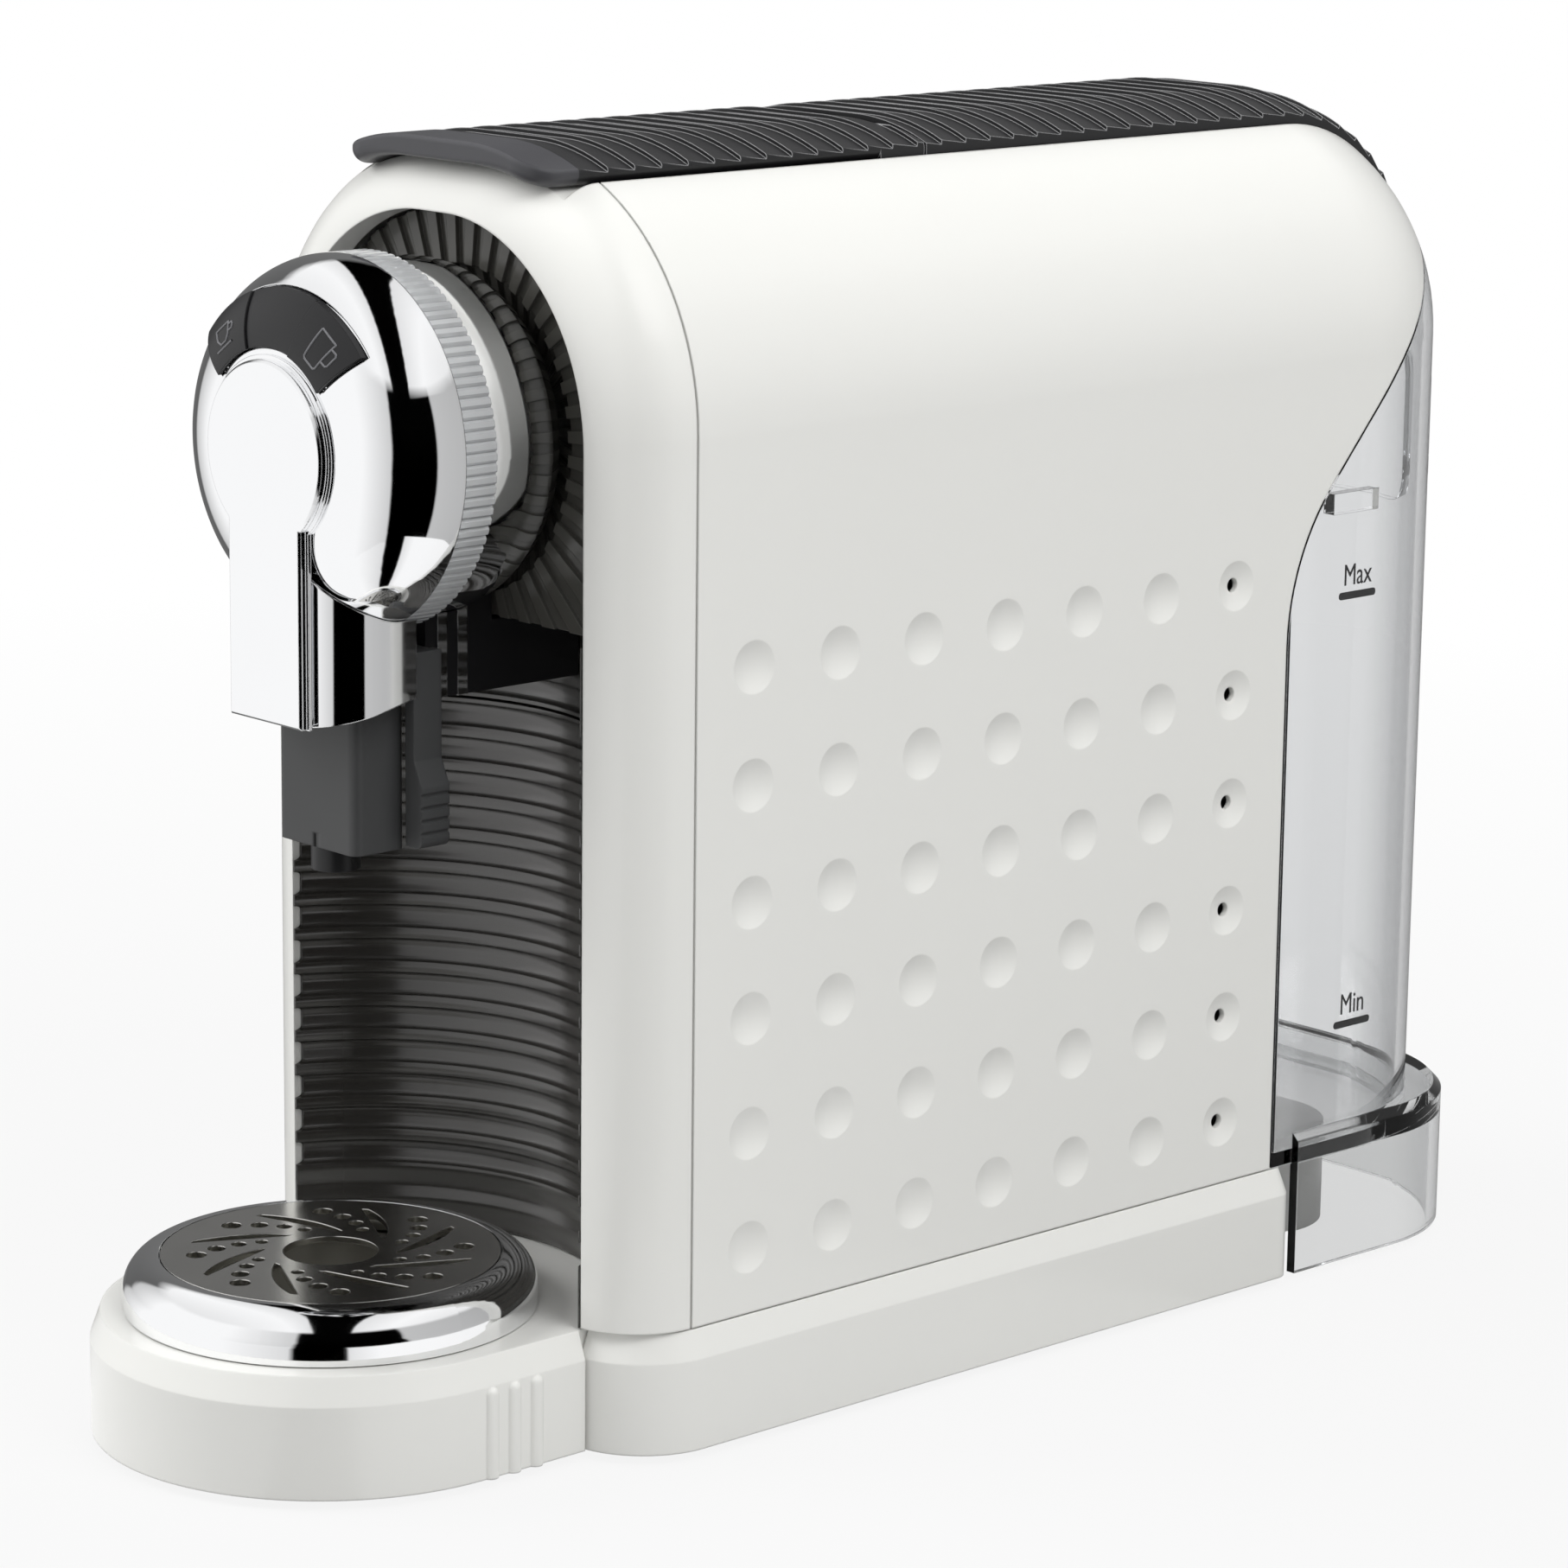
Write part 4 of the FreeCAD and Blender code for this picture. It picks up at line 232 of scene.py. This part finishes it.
def makeFinish(name, ownLook):
    look = {**plainFinish, **ownLook}
    material = bpy.data.materials.new(name)
    material.use_nodes = True
    tree = material.node_tree
    shader = tree.nodes["Principled BSDF"]
    for key, socket in plainSockets.items():
        if key in look:
            shader.inputs[socket].default_value = look[key]
    tone = placeGroup(tree, toneGroup, {
        "Color": look["color"], "Patch Scale": look["patchScale"], "Depth": look["patchDepth"],
        "Roughness": look["roughness"], "Gloss Spread": look["glossSpread"],
    })
    painted = tone.outputs["Color"]
    if "behind" in look:
        painted = secondTone(tree, painted, look["behind"])
    if "edgeLight" in look:
        edgeLightLook = look["edgeLight"]
        edgeLight = placeGroup(tree, edgeLightGroup, {
            "Edge Light Color": edgeLightLook["color"], "Reach": edgeLightLook["reach"] * mm, "Amount": edgeLightLook["amount"],
        })
        tree.links.new(painted, edgeLight.inputs["Color"])
        painted = edgeLight.outputs["Color"]
    if "slanted" in look:
        # a longer way through the wall where it is seen at a slant
        slant = tree.nodes.new("ShaderNodeLayerWeight")
        slant.inputs["Blend"].default_value = look["slanted"]["blend"]
        share = mathNode(tree, "POWER", slant.outputs["Facing"], look["slanted"]["power"])
        painted = blendNode(tree, share, painted, look["slanted"]["color"])
    tree.links.new(painted, shader.inputs["Base Color"])
    tree.links.new(tone.outputs["Roughness"], shader.inputs["Roughness"])
    skin = placeGroup(tree, skinGroup, {
        "Edge Radius": look["edge"] * mm, "Grain Scale": look["grainScale"],
        "Grain Height": look["grainHeight"] * mm,
    })
    facing = skin.outputs["Normal"]
    if "wave" in look:
        facing = roundedRibs(tree, facing, look["wave"])
    tree.links.new(facing, shader.inputs["Normal"])
    return material


def dress(material, *names):
    for name in names:
        nodes[name].data.materials.clear()
        nodes[name].data.materials.append(material)


# casing: satin white mouldings, grey on the tongue under the tank as painted shade where the tank covers it
whiteShell = {
    "color": (0.82, 0.82, 0.79), "roughness": 0.3, "specular": 0.4, "coat": 0.35, "coatRoughness": 0.12,
    "patchDepth": 0.02, "glossSpread": 0.08, "edge": 0.6, "grainScale": 900.0, "grainHeight": 0.006,
}
dress(makeFinish("whiteShell", whiteShell),
      "side_panel_right", "side_panel_left", "front_bezel", "drip_tray", "tank_bay_wall")
plinthShadedWhite = dict(whiteShell, behind={"start": 0.0947, "color": (0.40, 0.40, 0.39)})
dress(makeFinish("plinthShadedWhite", plinthShadedWhite), "base_housing")

# lever and rear cover: charcoal, paler on the lip as a painted sheen and along the ribs as painted highlights
charcoalRib = {
    "color": (0.062, 0.062, 0.068), "roughness": 0.38, "specular": 0.4,
    "patchScale": 60.0, "patchDepth": 0.25, "glossSpread": 0.15,
    "edge": 0.35, "grainScale": 3500.0, "grainHeight": 0.012,
    # painted sheen: the lip ahead of start keeps the paler colour, all further back is darker
    "behind": {"start": -0.0812, "color": (0.018, 0.018, 0.019)},
    "edgeLight": {"color": (0.5, 0.5, 0.51), "reach": 0.4, "amount": 0.9},
}
dress(makeFinish("charcoalRib", charcoalRib), "lever", "rear_cover")

# bright plated pieces of the head, spout and drip ring
brightPlate = {
    "color": (0.93, 0.935, 0.945), "metallic": 1.0, "roughness": 0.05,
    "patchScale": 40.0, "patchDepth": 0.02, "glossSpread": 0.03,
    "edge": 0.35, "grainScale": 60.0, "grainHeight": 0.002,
}
dress(makeFinish("brightPlate", brightPlate),
      "head_dome", "keyhole_plate", "head_rear", "spout_shroud", "drip_ring", "column_trims")

# polished steel grille, paler where its edges turn as a painted highlight
darkSteel = {
    "color": (0.78, 0.77, 0.74), "metallic": 1.0, "roughness": 0.2,
    "patchScale": 90.0, "patchDepth": 0.15, "glossSpread": 0.08,
    "edge": 0.3, "grainScale": 400.0, "grainHeight": 0.004,
    "edgeLight": {"color": (0.85, 0.84, 0.82), "reach": 0.4, "amount": 0.8},
}
dress(makeFinish("darkSteel", darkSteel), "drip_grille")

# clear mouldings, the tank a little greyer towards its rear as painted shade
clearSkirt = {
    "color": (0.78, 0.785, 0.785), "roughness": 0.02, "transmission": 1.0, "ior": 1.33,
    "patchDepth": 0.02, "glossSpread": 0.02, "edge": 0.3, "grainScale": 30.0, "grainHeight": 0.02,
    "slanted": {"blend": 0.5, "power": 2.0, "color": (0.42, 0.43, 0.44)},
}
dress(makeFinish("clearSkirt", clearSkirt), "tank_skirt")
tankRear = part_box("water_tank")[1].y
clearTank = dict(
    clearSkirt,
    color=(0.985, 0.985, 0.985),
    slanted={"blend": 0.5, "power": 1.6, "color": (0.14, 0.145, 0.15)},
    behind={"start": tankRear - 0.045, "over": 0.03, "color": (0.86, 0.87, 0.88)},
)
dress(makeFinish("clearTank", clearTank), "water_tank")
# light ring: darker where its edges turn, painted shade along its edges
clearRing = {
    "color": (0.72, 0.735, 0.745), "roughness": 0.08, "transmission": 0.45, "ior": 1.5,
    "coat": 0.6, "coatRoughness": 0.05, "patchDepth": 0.05, "glossSpread": 0.04,
    "edge": 0.15, "grainScale": 200.0, "grainHeight": 0.01,
    "edgeLight": {"color": (0.22, 0.22, 0.23), "reach": 0.2, "amount": 0.8},
}
dress(makeFinish("clearRing", clearRing), "light_ring")

# smoked lining, pitch and height of its ribs in millimetres
smokedLiner = {
    "color": (0.05, 0.047, 0.042), "roughness": 0.2, "transmission": 0.3, "ior": 1.55, "specular": 0.7,
    "coat": 0.4, "coatRoughness": 0.1, "patchDepth": 0.15, "glossSpread": 0.06,
    "edge": 0.4, "grainScale": 120.0, "grainHeight": 0.02,
    "wave": {"start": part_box("upper_liner")[0].z, "pitch": 7.1, "height": 0.9},
}
dress(makeFinish("smokedLiner", smokedLiner), "upper_liner", "capsule_bin")
pleatSmoke = {
    "color": (0.08, 0.078, 0.07), "roughness": 0.2, "patchDepth": 0.2, "glossSpread": 0.06,
    "edge": 0.35, "grainScale": 150.0, "grainHeight": 0.015,
}
dress(makeFinish("pleatSmoke", pleatSmoke), "pleated_collar")

# dark plastics of the keys, the spout and what lies near them
keyBlack = {
    "color": (0.013, 0.013, 0.014), "roughness": 0.36, "specular": 0.35,
    "patchDepth": 0.2, "edge": 0.3, "grainHeight": 0.006,
}
dress(makeFinish("keyBlack", keyBlack),
      "button_panel", "button_espresso", "button_lungo", "spout_column", "nozzle", "top_deck", "inlet_socket")
spoutGrey = {
    "color": (0.046, 0.047, 0.048), "roughness": 0.5, "patchScale": 80.0, "patchDepth": 0.15,
    "edge": 0.5, "grainScale": 4000.0, "grainHeight": 0.012,
}
dress(makeFinish("spoutGrey", spoutGrey),
      "spout_block", "clip_left", "clip_right", "brew_carriage", "carriage_arms", "base_plate")

# inner pieces and the underside
panGrey = {"color": (0.42, 0.41, 0.37), "roughness": 0.4, "patchDepth": 0.1, "edge": 0.5}
dress(makeFinish("panGrey", panGrey), "drip_pan", "chassis")
softRubber = {
    "color": (0.022, 0.022, 0.023), "roughness": 0.75, "patchDepth": 0.3, "edge": 0.6, "grainHeight": 0.02,
}
dress(makeFinish("softRubber", softRubber),
      "rubber_feet", "pump_mounts", "inlet_seal", "hoses", "cord_gland")
castMetal = {
    "color": (0.62, 0.62, 0.63), "metallic": 1.0, "roughness": 0.35, "patchScale": 120.0, "patchDepth": 0.2,
    "edge": 0.5, "grainScale": 700.0, "grainHeight": 0.02,
}
dress(makeFinish("castMetal", castMetal),
      "base_screws", "guide_rods", "lever_pin", "pump", "thermoblock", "injector")
boardGreen = {
    "color": (0.03, 0.16, 0.07), "roughness": 0.35, "patchScale": 300.0, "patchDepth": 0.4, "edge": 0.2,
}
dress(makeFinish("boardGreen", boardGreen), "control_board")
print("finishes on the frame")


def addObject(name, data):
    thing = bpy.data.objects.new(name, data)
    bpy.context.scene.collection.objects.link(thing)
    return thing


def asMesh(thing, name):
    bpy.context.view_layer.update()
    seen = thing.evaluated_get(bpy.context.evaluated_depsgraph_get())
    made = addObject(name, bpy.data.meshes.new_from_object(seen))
    made.matrix_world = thing.matrix_world.copy()
    bpy.data.objects.remove(thing)
    return made


def settle(thing, material, body):
    # place goes into the mesh, then the piece rides on its body
    bpy.context.view_layer.update()
    thing.data.transform(thing.matrix_world)
    thing.matrix_world = Matrix.Identity(4)
    thing.data.materials.clear()
    thing.data.materials.append(material)
    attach(thing, body)


# level marks printed on the tank's side, each word with its place along the tank and its height
levelMarks = {
    "ink": {"color": (0.012, 0.012, 0.013), "roughness": 0.5, "edge": 0.05},
    "inkThickness": 0.00008,
    "words": {"Max": (0.1115, 0.1505), "Min": (0.1145, 0.0562)},
    "letterHeight": 0.0047,
    "sizeOfHeight": 1.4,  # text size for a capital one unit high
    "squeeze": 0.8,
    "barLength": 0.0115,
    "barHeight": 0.0016,
    "barBelow": 0.0022,
    "barRounding": 0.45,
    "barSegments": 4,
}
markInk = makeFinish("markInk", levelMarks["ink"])
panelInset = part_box("base_housing")[1].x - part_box("side_panel_right")[1].x
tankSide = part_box("water_tank")[1].x - panelInset
facingRight = Matrix(((0, 0, 1), (1, 0, 0), (0, 1, 0))).to_4x4()


def levelWord(word, along, height):
    text = bpy.data.curves.new(f"level{word}", "FONT")
    text.body = word
    text.size = levelMarks["letterHeight"] * levelMarks["sizeOfHeight"]
    text.align_x = "CENTER"
    text.extrude = levelMarks["inkThickness"]
    letters = asMesh(addObject(f"letters{word}", text), f"level{word}Word")
    narrow = Matrix.Diagonal((levelMarks["squeeze"], 1, 1, 1))
    letters.matrix_world = Matrix.Translation((tankSide, along, height)) @ facingRight @ narrow
    settle(letters, markInk, "tank")


def levelBar(word, along, height):
    thickness = levelMarks["inkThickness"]
    bar = bmesh.new()
    bmesh.ops.create_cube(bar, size=1.0)
    size = (thickness * 2, levelMarks["barLength"], levelMarks["barHeight"])
    bmesh.ops.scale(bar, vec=size, verts=bar.verts)
    ends = [edge for edge in bar.edges if abs(edge.verts[0].co.x - edge.verts[1].co.x) > thickness]
    bmesh.ops.bevel(bar, geom=ends, offset=levelMarks["barHeight"] * levelMarks["barRounding"],
                    segments=levelMarks["barSegments"], profile=0.5, affect="EDGES", material=-1)
    place = (tankSide, along, height - levelMarks["barBelow"])
    bmesh.ops.translate(bar, vec=place, verts=bar.verts)
    mesh = bpy.data.meshes.new(f"level{word}Bar")
    bar.to_mesh(mesh)
    bar.free()
    settle(addObject(f"level{word}Bar", mesh), markInk, "tank")


for word, (along, height) in levelMarks["words"].items():
    levelWord(word, along, height)
    levelBar(word, along, height)
print("level marks on the tank")

# outlined cup signs on the two keys, their lines in millimetres from the middle of the key
keySigns = {
    "ink": {"color": (0.16, 0.16, 0.17), "roughness": 0.45, "edge": 0.05},
    "stroke": 0.00022,
    "strokeRounds": 2,
    "step": 0.0006,
    "ringMiddle": 0.0252,
    "ahead": 0.02,  # how far in front of the key its lines start from
    "button_lungo": {
        "body": "key_lungo",
        "lines": [
            [(-2.7, 3.1), (-2.1, -2.7), (-1.7, -3.1), (1.3, -3.1), (1.7, -2.7), (2.1, 3.1), (-2.7, 3.1)],
            [(2.0, 2.1), (3.5, 2.1), (3.9, 1.7), (3.7, -0.5), (3.3, -0.9), (1.9, -0.9)],
        ],
    },
    "button_espresso": {
        "body": "key_espresso",
        "lines": [
            [(-2.6, 1.7), (-2.2, -0.5), (-1.2, -1.6), (0.6, -1.6), (1.6, -0.5), (2.0, 1.7), (-2.6, 1.7)],
            [(1.9, 1.1), (3.0, 1.1), (3.3, 0.6), (3.0, -0.1), (1.8, -0.1)],
            [(-2.9, -2.5), (2.4, -2.5)],
        ],
    },
}
signInk = makeFinish("signInk", keySigns["ink"])
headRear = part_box("head_rear")
headHeight = (headRear[0].z + headRear[1].z) / 2


def keySign(key):
    low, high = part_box(key)
    middle = (low + high) / 2
    outward = Vector((middle.x, 0, middle.z - headHeight)).normalized()
    sideways = Vector((outward.z, 0, -outward.x))
    centre = Vector((0, low.y - keySigns["ahead"], headHeight)) + outward * keySigns["ringMiddle"]
    face = BVHTree.FromObject(nodes[key], bpy.context.evaluated_depsgraph_get())
    sign = bpy.data.curves.new(f"{key}Sign", "CURVE")
    sign.dimensions = "3D"
    sign.bevel_depth = keySigns["stroke"]
    sign.bevel_resolution = keySigns["strokeRounds"]
    for line in keySigns[key]["lines"]:
        spots = []
        for start, end in zip(line, line[1:]):
            first = Vector(start) * mm
            last = Vector(end) * mm
            count = max(1, round((last - first).length / keySigns["step"]))
            spots += [first.lerp(last, step / count) for step in range(count)]
        spots.append(Vector(line[-1]) * mm)
        stroke = sign.splines.new("POLY")
        stroke.points.add(len(spots) - 1)
        for point, spot in zip(stroke.points, spots):
            start = centre + sideways * spot.x + outward * spot.y
            hit = face.ray_cast(start, Vector((0, 1, 0)))[0]
            point.co = (*(hit or start), 1.0)
    drawn = asMesh(addObject(f"{key}Stroke", sign), f"{key}Sign")
    settle(drawn, signInk, keySigns[key]["body"])


for key in ("button_lungo", "button_espresso"):
    keySign(key)
print("signs on the keys")

# how bright mirrored rays find the room, by degrees from the front towards the right
room = {
    "far": ((-180, 0.35), (-150, 0.3), (-140, 0.18), (-92, 0.12), (-88, 0.6), (-60, 1.0), (-5, 1.0),
            (33, 0.65), (34.5, 0.0), (90, 0.0), (92, 0.55), (125, 0.5), (180, 0.35)),
    # the floor within reach of the drip ring's middle
    "near": ((-180, 0.8), (-92, 0.12), (-88, 0.6), (-60, 1.0), (0, 1.0), (33, 0.75), (34.5, 0.0),
             (59, 0.0), (60.5, 0.8), (75, 1.0), (100, 1.0), (180, 0.9)),
    "nearReach": 0.2,
    # overhead, by the way's share to the right of a line that runs this many degrees from the front
    "ceiling": {
        "line": 50.0, "from": 0.5, "to": 0.6,
        "strip": ((-1, 0.8), (-0.3, 1.0), (-0.13, 0.8), (-0.12, 0.0), (0.2, 0.0), (0.21, 0.8), (0.5, 1.0),
                  (1, 0.8)),
    },
}


def levelRamp(tree, value, span, stops):
    # grey levels by a value that runs from minus span to span
    half = 0.5 / span
    ramp = tree.nodes.new("ShaderNodeValToRGB")
    tree.links.new(mathNode(tree, "MULTIPLY_ADD", value, half, 0.5), ramp.inputs["Fac"])
    marks = ramp.color_ramp.elements
    marks.remove(marks[1])
    for index, (at, level) in enumerate(stops):
        spot = at * half + 0.5
        mark = marks.new(spot) if index else marks[0]
        mark.position = spot
        mark.color = (level, level, level, 1.0)
    return ramp.outputs["Color"]


def roomLevel(tree, place, stops):
    parts = wayParts(tree, place)
    ahead = mathNode(tree, "MULTIPLY", parts["Y"], -1.0)
    turn = mathNode(tree, "DEGREES", mathNode(tree, "ARCTAN2", parts["X"], ahead))
    return levelRamp(tree, turn, 180, stops)


def ceilingLevel(tree, place, below):
    ceiling = room["ceiling"]
    line = math.radians(ceiling["line"])
    parts = wayParts(tree, place)
    aside = mathNode(tree, "MULTIPLY", parts["Y"], math.sin(line))
    aside = mathNode(tree, "MULTIPLY_ADD", parts["X"], math.cos(line), aside)
    above = rangeNode(tree, ceiling["from"], ceiling["to"])
    tree.links.new(parts["Z"], above.inputs["Value"])
    return blendNode(tree, above.outputs[0], below, levelRamp(tree, aside, 1, ceiling["strip"]))


def seenRays(tree):
    # rays that see the surroundings straight or through something clear, and mirrored ones
    path = tree.nodes.new("ShaderNodeLightPath")
    through = path.outputs["Is Transmission Ray"]
    straight = mathNode(tree, "MAXIMUM", path.outputs["Is Camera Ray"], through)
    glossy = mathNode(tree, "SUBTRACT", path.outputs["Is Glossy Ray"], through)
    mirrored = mathNode(tree, "GREATER_THAN", glossy, 0.5)
    return straight, mirrored


# floor: shows the shadow near the machine and goes to white further out
floorLook = {
    "color": (0.45, 0.45, 0.45),
    "roughness": 0.9,
    "reach": 14.0,
    "glow": {"near": 0.88, "far": 1.0, "from": 0.3, "to": 0.9},
}


def floorFinish():
    glow = floorLook["glow"]
    material = bpy.data.materials.new("paleFloor")
    material.use_nodes = True
    tree = material.node_tree
    shader = tree.nodes["Principled BSDF"]
    shader.inputs["Base Color"].default_value = (*floorLook["color"], 1.0)
    shader.inputs["Roughness"].default_value = floorLook["roughness"]
    shader.inputs["Specular IOR Level"].default_value = 0.0
    ringLow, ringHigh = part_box("drip_ring")
    spot = tree.nodes.new("ShaderNodeTexCoord")
    shifted = vectorNode(tree, "SUBTRACT")
    shifted.inputs[1].default_value = (0, (ringLow.y + ringHigh.y) / 2, 0)
    tree.links.new(spot.outputs["Object"], shifted.inputs[0])
    away = vectorNode(tree, "LENGTH")
    tree.links.new(shifted.outputs[0], away.inputs[0])
    growth = rangeNode(tree, glow["from"], glow["to"])
    growth.inputs["To Min"].default_value = glow["near"]
    growth.inputs["To Max"].default_value = glow["far"]
    tree.links.new(away.outputs["Value"], growth.inputs["Value"])
    straight, mirrored = seenRays(tree)
    seen = mathNode(tree, "MULTIPLY", straight, growth.outputs[0])
    share = mathNode(tree, "MAXIMUM", seen, mirrored)
    beyond = mathNode(tree, "GREATER_THAN", away.outputs["Value"], room["nearReach"])
    near = roomLevel(tree, shifted.outputs[0], room["near"])
    far = roomLevel(tree, shifted.outputs[0], room["far"])
    shown = blendNode(tree, mirrored, white, blendNode(tree, beyond, near, far))
    light = tree.nodes.new("ShaderNodeEmission")
    tree.links.new(shown, light.inputs["Color"])
    mix = tree.nodes.new("ShaderNodeMixShader")
    tree.links.new(share, mix.inputs["Fac"])
    tree.links.new(shader.outputs[0], mix.inputs[1])
    tree.links.new(light.outputs[0], mix.inputs[2])
    tree.links.new(mix.outputs[0], tree.nodes["Material Output"].inputs["Surface"])
    return material


plate = bmesh.new()
bmesh.ops.create_grid(plate, x_segments=1, y_segments=1, size=floorLook["reach"])
floorMesh = bpy.data.meshes.new("floor")
plate.to_mesh(floorMesh)
plate.free()
floorMesh.materials.append(floorFinish())
addObject("floor", floorMesh)

# world: white where it is seen, an even fill for the object, the room for mirrored rays
skyFill = (0.54, 0.54, 0.54)
world = bpy.data.worlds.new("studioWorld")
bpy.context.scene.world = world
world.use_nodes = True
skyTree = world.node_tree
sky = skyTree.nodes["Background"]
skyStraight, skyMirrored = seenRays(skyTree)
skyWay = skyTree.nodes.new("ShaderNodeTexCoord").outputs["Generated"]
skyPlain = blendNode(skyTree, skyStraight, skyFill, white)
skyRoom = ceilingLevel(skyTree, skyWay, roomLevel(skyTree, skyWay, room["far"]))
skyTree.links.new(blendNode(skyTree, skyMirrored, skyPlain, skyRoom), sky.inputs["Color"])
sky.inputs["Strength"].default_value = 1.0

# lamps, which the plated pieces don't mirror
lamps = {
    "topBox": {"at": (0.6, -0.3, 1.8), "size": (1.5, 1.5), "power": 10.0},
    "leftBox": {"at": (-1.5, -1.2, 1.2), "size": (1.2, 1.4), "power": 31.0},
    "rightBox": {"at": (1.0, 0.0, 1.2), "size": (0.8, 0.8), "power": 8.2},
}
lampAim = Vector((0.0, 0.0, 0.13))
for name, lamp in lamps.items():
    light = bpy.data.lights.new(name, "AREA")
    light.shape = "RECTANGLE"
    light.size, light.size_y = lamp["size"]
    light.energy = lamp["power"]
    holder = addObject(name, light)
    holder.location = lamp["at"]
    holder.rotation_euler = (lampAim - holder.location).to_track_quat("-Z", "Y").to_euler()
    holder.visible_glossy = False

# camera at the photo's place, angles in degrees and lens in millimetres
view = {
    "at": (0.7929, -0.7314, 0.3539), "azimuth": 47.294, "elevation": 12.588, "roll": 0.671,
    "lens": 122.55, "sensor": 36.0,
}
azimuth, elevation, roll = (math.radians(view[key]) for key in ("azimuth", "elevation", "roll"))
right = Vector((math.cos(azimuth), math.sin(azimuth), 0))
level = Vector((math.sin(azimuth), -math.cos(azimuth), 0))
back = level * math.cos(elevation) + Vector((0, 0, math.sin(elevation)))
up = back.cross(right)
tiltRight = right * math.cos(roll) + up * math.sin(roll)
tiltUp = up * math.cos(roll) - right * math.sin(roll)
camera = bpy.data.cameras.new("photoCamera")
camera.lens = view["lens"]
camera.sensor_width = view["sensor"]
cameraThing = addObject("photoCamera", camera)
axes = Matrix((tiltRight, tiltUp, back)).transposed().to_4x4()
cameraThing.matrix_world = Matrix.Translation(view["at"]) @ axes
bpy.context.scene.camera = cameraThing
bpy.context.scene.view_settings.view_transform = "Standard"
print("studio and camera set")
